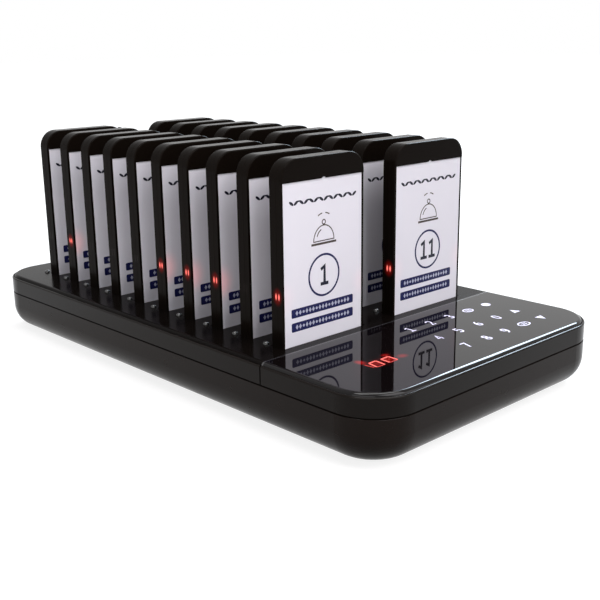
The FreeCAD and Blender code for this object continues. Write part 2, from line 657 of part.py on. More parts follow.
def make_charge_indicators():
    """Small domed lamps beside the sockets, each standing on two leads."""
    lamps = []
    for place_in_row in range(ROW_COUNT):
        for centre in ROW_CENTRES:
            x = "(%s - pager_width / 2 - indicator_side)" % centre
            y = along_row("(%s + %s)" % (FIRST_FACE, LAMP_BACK), place_in_row)
            foot = "(deck_height - indicator_body)"
            pieces = [cylinder("IndicatorBody", "indicator_radius", "indicator_body", x, y, foot)]
            dome = doc.addObject("Part::Ellipsoid", "IndicatorDome")
            bind(dome, Radius1="indicator_rise", Radius2="indicator_radius",
                 Radius3="indicator_radius", Angle1="0.0")
            pieces.append(place(dome, x, y, "deck_height"))
            for side in ("-", "+"):
                lead_x = "(%s %s lead_spacing / 2)" % (x, side)
                pieces.append(box("IndicatorLead", "(%s - lead_width / 2)" % lead_x,
                                  "(%s + lead_width / 2)" % lead_x, "(%s - lead_width / 2)" % y,
                                  "(%s + lead_width / 2)" % y, BOARD_TOP,
                                  "(%s + lead_width)" % foot))
            lamps.append(fuse("Indicator", pieces))
    return group("charge_indicator_lamps", lamps)


def make_charging_board():
    plate = box("ChargingPlate", "-(base_width / 2 - charging_board_side)",
                "base_width / 2 - charging_board_side",
                "(%s + first_pager_gap - charging_board_front)" % SEAM,
                "(%s - charging_board_back)" % BACK, BOARD_UNDER, BOARD_TOP)
    holes = [cylinder("ChargingPlateHole", "case_screw_radius + pin_clearance", "base_board * 3",
                      x, y, "(%s - base_board)" % BOARD_UNDER) for x, y in rear_boss_places()]
    return named(cut("ChargingBoard", plate, holes), "charging_board")


def make_key_parts():
    """The light guide and the touch board that lie under the keypad glass, and the display."""
    middle = {"x": "(%s + display_inset)" % KEY_PLATE["x_low"],
              "y": "(%s - display_drop)" % KEY_PLATE["y_high"]}
    hole = ("(%(x)s - display_width / 2 - guide_gap)" % middle,
            "(%(x)s + display_width / 2 + guide_gap)" % middle,
            "(%(y)s - display_length / 2 - guide_gap)" % middle,
            "(%(y)s + display_length / 2 + guide_gap)" % middle)
    plate = (KEY_PLATE["x_low"], KEY_PLATE["x_high"], KEY_PLATE["y_low"], KEY_PLATE["y_high"])
    guide_under = "(%s - guide_plate)" % PANEL_UNDER
    touch_under = "(%s - guide_plate - touch_board)" % PANEL_UNDER
    pieces = []
    for label, low, high in (("key_light_guide", guide_under, PANEL_UNDER),
                             ("touch_board", touch_under, guide_under)):
        opening = box(label + "_hole", *hole, "(%s - %d)" % (low, PAST), "(%s + %d)" % (high, PAST))
        pieces.append(named(cut(label + "_cut", box(label + "_plate", *plate, low, high),
                                [opening]), label))
    pieces.append(named(box("DisplayModule", "(%(x)s - display_width / 2)" % middle,
                            "(%(x)s + display_width / 2)" % middle,
                            "(%(y)s - display_length / 2)" % middle,
                            "(%(y)s + display_length / 2)" % middle,
                            "(%s - display_depth)" % PANEL_UNDER, PANEL_UNDER), "display_module"))
    return pieces


def make_control_board():
    plate = box("ControlPlate", "-(base_width / 2 - control_board_side)",
                "base_width / 2 - control_board_side", "(%s + control_board_front)" % FRONT,
                "(%s - control_board_back)" % SEAM, BOARD_UNDER, BOARD_TOP)
    holes = [cylinder("ControlPlateHole", "board_screw_radius + pin_clearance", "base_board * 3",
                      x, y, "(%s - base_board)" % BOARD_UNDER) for x, y in board_post_places()]
    return named(cut("ControlBoard", plate, holes), "control_board")


def make_ribbons_and_buzzer():
    keypad = box("KeypadRibbon", "ribbon_width", "ribbon_width * 2",
                 "(%s - guide_back - ribbon_width / 4)" % SEAM,
                 "(%s - guide_back - ribbon_width / 4 + ribbon_thickness)" % SEAM,
                 BOARD_TOP, "(%s - guide_plate - touch_board)" % PANEL_UNDER)
    link = box("BoardLinkRibbon", "-ribbon_width / 2", "ribbon_width / 2",
               "(%s - control_board_back - ribbon_width / 4)" % SEAM,
               "(%s + first_pager_gap + ribbon_width / 4)" % SEAM,
               BOARD_TOP, "(%s + ribbon_thickness)" % BOARD_TOP)
    buzzer = cylinder("Buzzer", "buzzer_radius", "buzzer_height", "-ribbon_width * 1.5",
                      "(%s - control_board_back - buzzer_radius * 2)" % SEAM, BOARD_TOP)
    return [named(keypad, "keypad_ribbon"), named(link, "board_link_ribbon"),
            named(buzzer, "buzzer")]


def make_feet():
    feet = [cylinder("Foot", "foot_radius", "foot_stand + foot_recess", x, y, "0.0")
            for x, y in foot_places()]
    return group("rubber_feet", feet)


def screw(name, head_radius, head_height, shank_radius, shank_length, x, y, head_z, shank_z):
    return fuse(name, [cylinder(name + "Head", head_radius, head_height, x, y, head_z),
                       cylinder(name + "Shank", shank_radius, shank_length, x, y, shank_z)])


def make_screws():
    seat = "(%s + case_screw_seat)" % SHELL_UNDER
    case_screws = [screw("CaseScrew", "case_screw_head", "case_screw_cap", "case_screw_radius",
                         "case_screw_length + case_screw_cap / 2", x, y,
                         "(%s - case_screw_cap)" % seat, "(%s - case_screw_cap / 2)" % seat)
                   for x, y in list(rear_boss_places()) + list(front_boss_places())]
    board_screws = [screw("BoardScrew", "board_screw_head", "board_screw_cap",
                          "board_screw_radius", "board_screw_length", x, y, BOARD_TOP,
                          "(%s + board_screw_cap / 2 - board_screw_length)" % BOARD_TOP)
                    for x, y in board_post_places()]
    return [group("case_screws", case_screws), group("board_screws", board_screws)]


def make_power_inlet():
    """A barrel jack for the mains adapter's plug, its mouth flush with the back wall."""
    z = "(%s + inlet_height / 2)" % BOARD_TOP
    inner_wall = "(%s - shell_wall)" % BACK
    block = box("InletBlock", "(-inlet_x - inlet_width / 2)", "(-inlet_x + inlet_width / 2)",
                "(%s - panel_gap - inlet_depth)" % inner_wall, "(%s - panel_gap)" % inner_wall,
                BOARD_TOP, "(%s + inlet_height)" % BOARD_TOP)
    barrel = cylinder("InletBarrel", "inlet_barrel", "shell_wall + panel_gap + inlet_depth / 4",
                      "-inlet_x", "(%s - panel_gap - inlet_depth / 4)" % inner_wall, z, (0, 1, 0))
    bore = cylinder("InletBore", "inlet_bore", "inlet_bore_depth + %d" % PAST, "-inlet_x",
                    "(%s - inlet_bore_depth)" % BACK, z, (0, 1, 0))
    pin = cylinder("InletPin", "inlet_pin", "inlet_bore_depth", "-inlet_x",
                   "(%s - inlet_bore_depth - inlet_pin)" % BACK, z, (0, 1, 0))
    socket = cut("InletSocket", fuse("InletHousing", [block, barrel]), [bore])
    return named(fuse("PowerInlet", [socket, pin]), "power_inlet")


# ---------------------------------------------------------------- antenna

def hexagon(name, radius, height, x, y, z):
    prism = doc.addObject("Part::Prism", name)
    prism.Polygon = 6
    bind(prism, Circumradius=radius, Height=height)
    return place(prism, x, y, z)


def make_antenna_socket():
    """The radio module on the charging board, the bulkhead jack through the deck and its nut."""
    radio_top = "(%s + radio_height)" % BOARD_TOP
    radio = box("RadioModule", "-radio_width / 2", "radio_width / 2",
                "(%s - radio_length / 2)" % ANTENNA_Y, "(%s + radio_length / 2)" % ANTENNA_Y,
                BOARD_TOP, radio_top)
    barrel = cylinder("JackBarrel", "jack_radius", "deck_height + jack_rise - %s" % radio_top,
                      0, ANTENNA_Y, radio_top)
    shoulder = cylinder("JackShoulder", "jack_shoulder", "jack_shoulder_height",
                        0, ANTENNA_Y, "deck_height")
    nut_blank = hexagon("NutBlank", "jack_nut", "jack_nut_height", 0, ANTENNA_Y,
                        "(%s - jack_nut_height)" % PANEL_UNDER)
    nut_hole = cylinder("NutHole", "jack_radius + hole_clearance", "jack_nut_height + 2",
                        0, ANTENNA_Y, "(%s - jack_nut_height - 1)" % PANEL_UNDER)
    return [named(radio, "radio_module"),
            named(fuse("AntennaJack", [barrel, shoulder]), "antenna_jack"),
            named(cut("AntennaNut", nut_blank, [nut_hole]), "antenna_jack_nut")]


def make_antenna_base():
    """The knurled collar that screws on to the jack, with a fork for the whip above it."""
    collar_z = "(deck_height + jack_shoulder_height + collar_clearance)"
    knuckle_z = "(deck_height + jack_shoulder_height + collar_height)"
    collar = cylinder("Collar", "collar_radius", "collar_height - collar_clearance",
                      0, ANTENNA_Y, collar_z)
    knuckle = cylinder("Knuckle", "knuckle_radius", "knuckle_height", 0, ANTENNA_Y, knuckle_z)
    pieces = [collar, knuckle]
    fork = "(tongue_width / 2 + tongue_clearance)"
    for side, low, high in (("Left", "-knuckle_radius", "-%s" % fork),
                            ("Right", fork, "knuckle_radius")):
        pieces.append(box(side + "Ear", low, high, "(%s - ear_radius)" % ANTENNA_Y,
                          "(%s + ear_radius)" % ANTENNA_Y,
                          "(%s + knuckle_height / 2)" % knuckle_z, HINGE_Z))
        pieces.append(cylinder(side + "EarTop", "ear_radius", "(%s) - (%s)" % (high, low),
                               low, ANTENNA_Y, HINGE_Z, (1, 0, 0)))
    blank = fuse("AntennaBaseBlank", pieces)
    bore = cylinder("CollarBore", "jack_radius + collar_clearance",
                    "jack_rise - jack_shoulder_height + collar_clearance + %d" % PAST,
                    0, ANTENNA_Y, "(%s - %d)" % (collar_z, PAST))
    pin_hole = cylinder("PinHole", "hinge_pin", "knuckle_radius * 2 + 2",
                        "(-knuckle_radius - 1)", ANTENNA_Y, HINGE_Z, (1, 0, 0))
    grips = []
    for index in range(SIZES["collar_ribs"]):
        angle = 2 * math.pi * index / SIZES["collar_ribs"]
        grips.append(cylinder("CollarGrip", "collar_radius * 0.07", "collar_height * 0.8",
                              "(collar_radius * %.6f)" % math.cos(angle),
                              "(%s + collar_radius * %.6f)" % (ANTENNA_Y, math.sin(angle)),
                              "(%s - %d)" % (collar_z, PAST)))
    base = named(cut("AntennaBase", blank, [bore, pin_hole] + grips), "antenna_base")
    pin = named(cylinder("AntennaHingePin", "hinge_pin", "knuckle_radius * 2", "-knuckle_radius",
                         ANTENNA_Y, HINGE_Z, (1, 0, 0)), "antenna_hinge_pin")
    return [base, pin]


def make_antenna_whip():
    """The tapering rubber whip: a tongue on the hinge, a shoulder, a cone and a round tip."""
    whip_z = "(%s + whip_start)" % HINGE_Z
    tip_z = "(deck_height + antenna_height - whip_tip)"
    tongue = cylinder("Tongue", "ear_radius - tongue_clearance", "tongue_width",
                      "-tongue_width / 2", ANTENNA_Y, HINGE_Z, (1, 0, 0))
    neck = box("Neck", "-tongue_width / 2", "tongue_width / 2",
               "(%s - ear_radius + tongue_clearance)" % ANTENNA_Y,
               "(%s + ear_radius - tongue_clearance)" % ANTENNA_Y, HINGE_Z, "(%s + 1)" % whip_z)
    cone = doc.addObject("Part::Cone", "WhipCone")
    bind(cone, Radius1="whip_foot", Radius2="whip_tip", Height="%s - %s" % (tip_z, whip_z))
    place(cone, 0, ANTENNA_Y, whip_z)
    tip = doc.addObject("Part::Sphere", "WhipTip")
    bind(tip, Radius="whip_tip")
    place(tip, 0, ANTENNA_Y, tip_z)
    hole = cylinder("TongueHole", "hinge_pin + hinge_clearance", "tongue_width + 2",
                    "(-tongue_width / 2 - 1)", ANTENNA_Y, HINGE_Z, (1, 0, 0))
    return named(cut("AntennaWhip", fuse("WhipBlank", [tongue, neck, cone, tip]), [hole]),
                 "antenna_whip")


# ---------------------------------------------------------------- pager
# The pager's own frame: x across, y from its front face to its back, z from its foot.

def pager_outline(body, name, level, inset=None):
    profile = Profile(body, name, level, "XZ_Plane")
    if inset is None:
        return profile.rectangle("-pager_width / 2", "pager_width / 2", "0.0", "pager_height",
                                 "pager_foot_corner", "pager_corner")
    return profile.rectangle("-(pager_width / 2 - %s)" % inset, "pager_width / 2 - %s" % inset,
                             inset, "pager_height - %s" % inset,
                             "(pager_foot_corner - %s)" % inset, "(pager_corner - %s)" % inset)


def light_slit(body, y_low, y_high):
    slit = Profile(body, "LightSlit", "0.0", "YZ_Plane")
    slit.rectangle(y_low, y_high, "guide_height - guide_length / 2",
                   "guide_height + guide_length / 2")
    return pocket(body, "LightSlitPocket", slit, both_ways=True)


def contact_openings(body):
    openings = Profile(body, "ContactOpenings", "0.0")
    for side in ("-", "+"):
        middle = "(0 %s contact_spacing / 2)" % side
        openings.rectangle("%s - contact_width / 2" % middle, "%s + contact_width / 2" % middle,
                           BOARD_BACK, CONTACT_BACK)
    return pocket(body, "ContactPocket", openings, "pager_wall + %d" % PAST, backwards=True)


def pager_screw_places():
    for side in ("-", "+"):
        for z in ("pager_screw_low", "(pager_height - pager_screw_drop)"):
            yield "(0 %s (pager_width / 2 - pager_screw_side))" % side, z


def make_pager_front_shell():
    body = new_body("pager_01_front_shell")
    pad(body, "FrontBlock", pager_outline(body, "FrontOutline", "0.0"), "front_depth",
        backwards=True)
    fillet(body, "FrontEdge", "pager_edge", lies_at("Y", "0.0"))
    chamfer(body, "FrontGroove", "pager_groove", lies_at("Y", "front_depth"))
    step = Profile(body, "BezelStep", "0.0", "XZ_Plane")
    step.rectangle("-pager_width", "pager_width", "-pager_foot_corner", LABEL_TOP)
    pocket(body, "BezelStepPocket", step, "bezel_step")
    recess = Profile(body, "LabelRecess", "0.0", "XZ_Plane")
    recess.rectangle("-%s" % LABEL_HALF, LABEL_HALF, "label_foot", LABEL_TOP)
    pocket(body, "LabelRecessPocket", recess, RECESS)
    notch = Profile(body, "TabNotch", "0.0", "XZ_Plane")
    notch.circle("0.0", "(%s - tab_radius + tab_rise)" % LABEL_TOP, "tab_radius")
    pocket(body, "TabNotchPocket", notch, "bezel_step + window_thickness")
    cavity = pager_outline(body, "FrontCavity", "front_depth", "pager_wall")
    pocket(body, "FrontCavityPocket", cavity, "front_depth - %s" % CAVITY, backwards=True)
    bosses = Profile(body, "ScrewBosses", "(%s - front_wall / 2)" % CAVITY, "XZ_Plane")
    holes = Profile(body, "ScrewHoles", BACK_INNER, "XZ_Plane")
    for x, z in pager_screw_places():
        bosses.circle(x, z, "pager_boss_radius")
        holes.circle(x, z, "pager_screw_radius + hole_clearance")
    pad(body, "ScrewBossPad", bosses, "%s - %s + front_wall / 2" % (BACK_INNER, CAVITY),
        backwards=True)
    pocket(body, "ScrewHolePocket", holes, "pager_screw_length", backwards=True)
    light_slit(body, CAVITY, "(%s + slit_width)" % CAVITY)
    contact_openings(body)
    return body


def make_pager_back_shell():
    body = new_body("pager_01_back_shell")
    pad(body, "BackBlock", pager_outline(body, "BackOutline", "front_depth"),
        "pager_thickness - front_depth", backwards=True)
    fillet(body, "BackEdge", "pager_edge", lies_at("Y", "pager_thickness"))
    chamfer(body, "BackGroove", "pager_groove", lies_at("Y", "front_depth"))
    cavity = pager_outline(body, "BackCavity", "front_depth", "pager_wall")
    pocket(body, "BackCavityPocket", cavity, "%s - front_depth" % BACK_INNER)
    shanks = Profile(body, "ShankHoles", "pager_thickness", "XZ_Plane")
    heads = Profile(body, "HeadHoles", "pager_thickness", "XZ_Plane")
    for x, z in pager_screw_places():
        shanks.circle(x, z, "pager_screw_radius + hole_clearance")
        heads.circle(x, z, "pager_screw_head + hole_clearance")
    pocket(body, "ShankHolePocket", shanks, "pager_wall + %d" % PAST, backwards=True)
    pocket(body, "HeadHolePocket", heads, "pager_head_depth", backwards=True)
    light_slit(body, "(front_depth + slit_inset)", "(front_depth + slit_inset + slit_width)")
    contact_openings(body)
    return body


def make_pager_label():
    card = named(box("LabelCard", "-(%s - card_clearance)" % LABEL_HALF,
                     "(%s - card_clearance)" % LABEL_HALF,
                     "(bezel_step + window_thickness)", RECESS,
                     "(label_foot + card_clearance)",
                     "(%s - card_clearance)" % LABEL_TOP), "pager_01_label_card")
    window = new_body("pager_01_label_window")
    sheet_profile = Profile(window, "WindowSheet", "(bezel_step + window_thickness)", "XZ_Plane")
    sheet_profile.rectangle("-(%s - card_clearance)" % LABEL_HALF,
                            "(%s - card_clearance)" % LABEL_HALF,
                            "(label_foot + card_clearance)",
                            "(%s - card_clearance)" % LABEL_TOP)
    pad(window, "WindowSheetPad", sheet_profile, "window_thickness")
    tab = Profile(window, "WindowTab", "(bezel_step + window_thickness)", "XZ_Plane")
    tab.circle("0.0", "(%s - tab_radius + tab_rise)" % LABEL_TOP, "tab_radius - card_clearance")
    pad(window, "WindowTabPad", tab, "window_thickness")
    return [card, window]


def make_pager_light_guides():
    """On each side a clear block inside, with two ribs that fill the slits in the shells."""
    guides = []
    low, high = "guide_height - guide_length / 2", "guide_height + guide_length / 2"
    second = "(front_depth + slit_inset)"
    block_x = "(board_width / 2 + led_gap)"
    for side in ("-", ""):
        pieces = []
        for name, x_inner, x_outer, y_low, y_high in (
                ("GuideBlock", block_x, LABEL_HALF, CAVITY, "(%s + slit_width)" % second),
                ("GuideFrontRib", LABEL_HALF, "pager_width / 2", CAVITY,
                 "(%s + slit_width)" % CAVITY),
                ("GuideBackRib", LABEL_HALF, "pager_width / 2", second,
                 "(%s + slit_width)" % second)):
            x_low, x_high = (x_inner, x_outer) if side == "" else (x_outer, x_inner)
            pieces.append(box(name, "%s(%s)" % (side, x_low), "%s(%s)" % (side, x_high),
                              y_low, y_high, low, high))
        guides.append(fuse("LightGuide", pieces))
    return group("pager_01_light_guides", guides)


def make_pager_inner_parts():
    board = named(box("PagerBoard", "-board_width / 2", "board_width / 2", CAVITY, BOARD_BACK,
                      "board_start", "(pager_height - board_head)"), "pager_01_circuit_board")
    leds = []
    for side in ("-", ""):
        edge, inner = "board_width / 2", "(board_width / 2 - led_length)"
        x_low, x_high = (inner, edge) if side == "" else (edge, inner)
        leds.append(box("Led", side + x_low, side + x_high, BOARD_BACK,
                        "(%s + led_depth)" % BOARD_BACK, "guide_height - led_length / 2",
                        "guide_height + led_length / 2"))
    battery = named(box("Battery", "-battery_width / 2", "battery_width / 2", BOARD_BACK,
                        "(%s - battery_gap)" % BACK_INNER, "battery_start",
                        "(pager_height - battery_head)"), "pager_01_battery")
    motor = named(cylinder("VibrationMotor", "motor_radius",
                           "%s - motor_gap - %s" % (BACK_INNER, BOARD_BACK), "motor_offset",
                           BOARD_BACK, "motor_height", (0, 1, 0)), "pager_01_vibration_motor")
    contacts = []
    for side in ("-", "+"):
        middle = "(0 %s contact_spacing / 2)" % side
        contacts.append(box("ChargeContact", "(%s - contact_width / 2)" % middle,
                            "(%s + contact_width / 2)" % middle, BOARD_BACK,
                            CONTACT_BACK, "0.0", "contact_height"))
    screws = []
    for x, z in pager_screw_places():
        head = cylinder("PagerScrewHead", "pager_screw_head", "pager_head_depth", x,
                        "(pager_thickness - pager_head_depth)", z, (0, 1, 0))
        shank = cylinder("PagerScrewShank", "pager_screw_radius", "pager_screw_length", x,
                         "(pager_thickness - pager_head_depth / 2 - pager_screw_length)", z,
                         (0, 1, 0))
        screws.append(fuse("PagerScrew", [head, shank]))
    return [board, group("pager_01_leds", leds), battery, motor,
            group("pager_01_charge_contacts", contacts), group("pager_01_screws", screws)]


def make_pagers():
    """The first pager as separate pieces, and each further pager as one group of the same."""
    pieces = [make_pager_front_shell(), make_pager_back_shell()] + make_pager_label()
    pieces += [make_pager_light_guides()] + make_pager_inner_parts()
    doc.recompute()
    for piece in pieces:
        if piece.TypeId in ("Part::Box", "Part::Cylinder"):
            # a primitive's own placement holds its place in the pager, so a group carries it
            label = piece.Label
            piece.Label = label + "_solid"
            pieces[pieces.index(piece)] = group(label, [piece])
    for piece in pieces:
        place(piece, ROW_CENTRES[0], FIRST_FACE, PAGER_FOOT)
    pagers = list(pieces)
    for index in range(1, 2 * ROW_COUNT):
        in_right_row, place_in_row = divmod(index, ROW_COUNT)
        copy = group("pager_%02d" % (index + 1), pieces)
        place(copy, "row_spacing * %d" % in_right_row, "pager_pitch * %d" % place_in_row, 0)
        pagers.append(copy)
    return pagers


# ---------------------------------------------------------------- the whole object

def make_all():
    nodes = [make_lower_shell(), make_rear_upper_shell(), make_front_upper_shell(),
             make_charging_deck(), make_keypad_panel(), make_seam_trim(), make_socket_tray(),
             make_charge_pins(), make_charge_indicators(), make_charging_board()]
    nodes += make_key_parts()
    nodes += [make_control_board()] + make_ribbons_and_buzzer()
    nodes += [make_feet()] + make_screws() + [make_power_inlet()]
    nodes += make_antenna_socket() + make_antenna_base() + [make_antenna_whip()]
    nodes += make_pagers()
    return nodes


def check(nodes):
    for thing in doc.Objects:
        if "Invalid" in thing.State or "Error" in thing.State:
            raise RuntimeError("%s did not recompute: %s" % (thing.Label, thing.State))
    for node in nodes:
        if node.Shape.isNull() or not node.Shape.isValid():
            raise RuntimeError("%s has no valid shape" % node.Label)


def export(nodes):
    os.makedirs("parts", exist_ok=True)
    for node in nodes:
        node.Shape.exportStep("parts/%s.step" % node.Label)
        print("%-28s %3d solids %12.2f mm3" % (node.Label, len(node.Shape.Solids),
                                               node.Shape.Volume))


all_nodes = make_all()
doc.recompute()
check(all_nodes)
export(all_nodes)
print(len(all_nodes), "nodes")
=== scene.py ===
"""Looks of the guest pager charging station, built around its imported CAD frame."""
import math

import bpy
import bmesh
from mathutils import Matrix, Vector


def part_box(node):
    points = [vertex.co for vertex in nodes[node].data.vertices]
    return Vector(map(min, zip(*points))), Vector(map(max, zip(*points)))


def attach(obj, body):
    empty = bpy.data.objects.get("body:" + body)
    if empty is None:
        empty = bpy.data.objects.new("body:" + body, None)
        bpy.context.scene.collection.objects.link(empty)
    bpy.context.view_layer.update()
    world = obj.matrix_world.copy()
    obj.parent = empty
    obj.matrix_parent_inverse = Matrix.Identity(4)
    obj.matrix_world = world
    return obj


MM = 0.001
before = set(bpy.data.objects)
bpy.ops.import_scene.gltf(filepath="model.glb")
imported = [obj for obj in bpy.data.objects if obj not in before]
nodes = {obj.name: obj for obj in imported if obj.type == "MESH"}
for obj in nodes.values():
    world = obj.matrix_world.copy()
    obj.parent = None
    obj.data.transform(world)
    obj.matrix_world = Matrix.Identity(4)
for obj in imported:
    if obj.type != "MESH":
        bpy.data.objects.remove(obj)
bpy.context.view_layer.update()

# ------------------------------------------------------------------ camera, solved from the view
CAMERA_PLACE = Vector((-321.77, -364.84, 161.91)) * MM
CAMERA_AZIMUTH, CAMERA_ELEVATION, CAMERA_ROLL = (
    math.radians(angle) for angle in (-43.276, 15.540, -0.774))
FOCAL_PIXELS, IMAGE_PIXELS, SENSOR = 950.95, 600, 36.0

forward = Vector((-math.sin(CAMERA_AZIMUTH) * math.cos(CAMERA_ELEVATION),
                  math.cos(CAMERA_AZIMUTH) * math.cos(CAMERA_ELEVATION),
                  -math.sin(CAMERA_ELEVATION)))
level_right = forward.cross(Vector((0, 0, 1))).normalized()
level_up = level_right.cross(forward)
right = math.cos(CAMERA_ROLL) * level_right + math.sin(CAMERA_ROLL) * level_up
up = -math.sin(CAMERA_ROLL) * level_right + math.cos(CAMERA_ROLL) * level_up
camera = bpy.data.objects.new("camera", bpy.data.cameras.new("camera"))
bpy.context.scene.collection.objects.link(camera)
camera.data.sensor_fit = "HORIZONTAL"
camera.data.sensor_width = SENSOR
camera.data.lens = FOCAL_PIXELS / IMAGE_PIXELS * SENSOR
camera.data.clip_start, camera.data.clip_end = 0.01, 20
camera.matrix_world = Matrix.Translation(CAMERA_PLACE) @ Matrix(
    (right, up, -forward)).transposed().to_4x4()
bpy.context.scene.camera = camera
bpy.context.scene.view_settings.view_transform = "Standard"

# ------------------------------------------------------------------ sizes taken from the frame
front_low, front_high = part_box("pager_01_front_shell")
window_low, window_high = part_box("pager_01_label_window")
card_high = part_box("pager_01_label_card")[1]
guide_low, guide_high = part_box("pager_01_light_guides")
contact_low, contact_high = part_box("pager_01_charge_contacts")
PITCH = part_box("pager_02")[0].y - front_low.y
ROW_X = (front_low.x + front_high.x) / 2
PAGER_FRONT = front_low.y
PAGER_FOOT = front_low.z
WINDOW_FRONT = window_low.y
LABEL_HALF = card_high.x - ROW_X
LABEL_TOP = card_high.z
DECK_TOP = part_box("charging_deck")[1].z
PAGERS_PER_ROW = 10
LIT_PAGERS = (1, 3, 4, 5, 9, 11)


def pager_origin(number):
    """Middle of a pager's front face at its foot, in the row frame."""
    in_right_row, place = divmod(number - 1, PAGERS_PER_ROW)
    return Vector((-ROW_X if in_right_row else ROW_X, PAGER_FRONT + PITCH * place, PAGER_FOOT))


# ------------------------------------------------------------------ materials
NOISE_LOW, NOISE_HIGH = 0.3, 0.7            # most of a noise texture's values lie between these
ROUGHNESS_PATCH = 2.7                       # patches of roughness are finer than those of colour
GLOW_PATCH = 700


def node_of(tree, kind, **inputs):
    node = tree.nodes.new(kind)
    for name, value in inputs.items():
        node.inputs[name.replace("_", " ")].default_value = value
    return node


def noise(tree, scale, detail=2.0, stretch=(1, 1, 1)):
    """A noise texture fixed to the object, so that it stays put when the piece moves."""
    coordinates = tree.nodes.new("ShaderNodeTexCoord")
    mapping = tree.nodes.new("ShaderNodeMapping")
    mapping.inputs["Scale"].default_value = stretch
    texture = node_of(tree, "ShaderNodeTexNoise", Scale=scale, Detail=detail)
    tree.links.new(coordinates.outputs["Object"], mapping.inputs["Vector"])
    tree.links.new(mapping.outputs["Vector"], texture.inputs["Vector"])
    return texture.outputs["Fac"]


def ranged(tree, source, start, end, low, high, shape="LINEAR"):
    """Run from one level to another while the source runs from start to end."""
    span = node_of(tree, "ShaderNodeMapRange", From_Min=start, From_Max=end, To_Min=low,
                   To_Max=high)
    span.interpolation_type = shape
    tree.links.new(source, span.inputs["Value"])
    return span.outputs["Result"]


def spread(tree, source, low, high):
    """Map a noise output to the span between two numbers."""
    return ranged(tree, source, NOISE_LOW, NOISE_HIGH, low, high)


def calculated(tree, operation, one, other):
    made = node_of(tree, "ShaderNodeMath")
    made.operation = operation
    tree.links.new(one, made.inputs[0])
    tree.links.new(other, made.inputs[1])
    return made.outputs[0]


def blended(tree, fac, one, other):
    mix = tree.nodes.new("ShaderNodeMix")
    mix.data_type = "RGBA"
    mix.inputs["A"].default_value = (*one, 1)
    mix.inputs["B"].default_value = (*other, 1)
    tree.links.new(fac, mix.inputs["Factor"])
    return mix.outputs["Result"]


def moulded(name, colour, other, roughness, grain=4000, grain_depth=0.0, patch=60, metallic=0.0,
            coat=0.0, coat_roughness=0.03, ior=1.5, stretch=(1, 1, 1)):
    """A moulded, printed or machined surface: colour and roughness vary a little over it, and a
    fine grain lies in it.  Colours are linear, roughness is a (low, high) pair."""
    made = bpy.data.materials.new(name)
    made.use_nodes = True
    tree = made.node_tree
    shader = tree.nodes["Principled BSDF"]
    shader.inputs["Metallic"].default_value = metallic
    shader.inputs["IOR"].default_value = ior
    shader.inputs["Coat Weight"].default_value = coat
    shader.inputs["Coat Roughness"].default_value = coat_roughness
    patches = noise(tree, patch, 3.0, stretch)
    tree.links.new(blended(tree, patches, colour, other), shader.inputs["Base Color"])
    tree.links.new(spread(tree, noise(tree, patch * ROUGHNESS_PATCH, 4.0, stretch), *roughness),
                   shader.inputs["Roughness"])
    if grain_depth:
        bump = node_of(tree, "ShaderNodeBump", Strength=1.0, Distance=grain_depth * MM)
        tree.links.new(noise(tree, grain, 3.0, stretch), bump.inputs["Height"])
        tree.links.new(bump.outputs["Normal"], shader.inputs["Normal"])
    return made


def glowing(name, colour, body, other, strength, roughness=(0.35, 0.5)):
    """A print that is lit from behind, a little unevenly; strength is a (low, high) pair."""
    made = moulded(name, body, other, roughness, patch=400, ior=1.3)
    tree = made.node_tree
    shader = tree.nodes["Principled BSDF"]
    shader.inputs["Emission Color"].default_value = (*colour, 1)
    tree.links.new(spread(tree, noise(tree, GLOW_PATCH), *strength),
                   shader.inputs["Emission Strength"])
    return made


def near(tree, centre, radii, level, beyond=0.0):
    """One level at a place of the object, running to another at the radii around it."""
    coordinates = tree.nodes.new("ShaderNodeTexCoord")
    steps = []
    for operation, amount in (("SUBTRACT", centre), ("DIVIDE", radii), ("LENGTH", None)):
        step = tree.nodes.new("ShaderNodeVectorMath")
        step.operation = operation
        if amount is not None:
            step.inputs[1].default_value = amount
        tree.links.new(steps[-1].outputs[0] if steps else coordinates.outputs["Object"],
                       step.inputs[0])
        steps.append(step)
    return ranged(tree, steps[-1].outputs["Value"], 0, 1, level, beyond, "SMOOTHERSTEP")


def with_glow(material, name, colour, glows):
    """A copy of a material that also shines near some places of the object. It gives the light
    guides their own light, and it also paints light: the red light of the guides and display
    falling on plastic, labels and the keypad panel around them.
    """
    made = material.copy()
    made.name = name
    tree = made.node_tree
    shader = tree.nodes["Principled BSDF"]
    shader.inputs["Emission Color"].default_value = (*colour, 1)
    total = None
    for glow in glows:
        level = near(tree, *glow)
        total = level if total is None else calculated(tree, "ADD", total, level)
    tree.links.new(total, shader.inputs["Emission Strength"])
    return made


def printed(name, colour, other, patch=60):
    """Card or ink under the label's thin clear film."""
    return moulded(name, colour, other, (0.4, 0.5), patch=patch, coat=0.15, coat_roughness=0.06,
                   ior=1.25)


LOWER_SHELL = moulded("lower_shell_plastic", (0.0062, 0.0032, 0.0020), (0.0078, 0.0042, 0.0028),
                      (0.20, 0.28), grain=3600, grain_depth=0.003, ior=1.185)
UPPER_SHELL = moulded("upper_shell_plastic", (0.0048, 0.0030, 0.0020), (0.0062, 0.0041, 0.0030),
                      (0.11, 0.16), grain=3600, grain_depth=0.0006, ior=1.19)
GLOSS_PANEL = moulded("gloss_panel", (0.0024, 0.0016, 0.0018), (0.0034, 0.0023, 0.0025),
                      (0.012, 0.035), patch=25, ior=1.30)
SATIN_DECK = moulded("satin_deck", (0.0028, 0.0020, 0.0017), (0.0038, 0.0028, 0.0024),
                     (0.16, 0.20), grain=3600, grain_depth=0.0003, patch=40, ior=1.11)
PAGER_PLASTIC = moulded("pager_plastic", (0.0046, 0.0031, 0.0022), (0.0064, 0.0044, 0.0033),
                        (0.16, 0.22), grain=3600, grain_depth=0.001, ior=1.09)
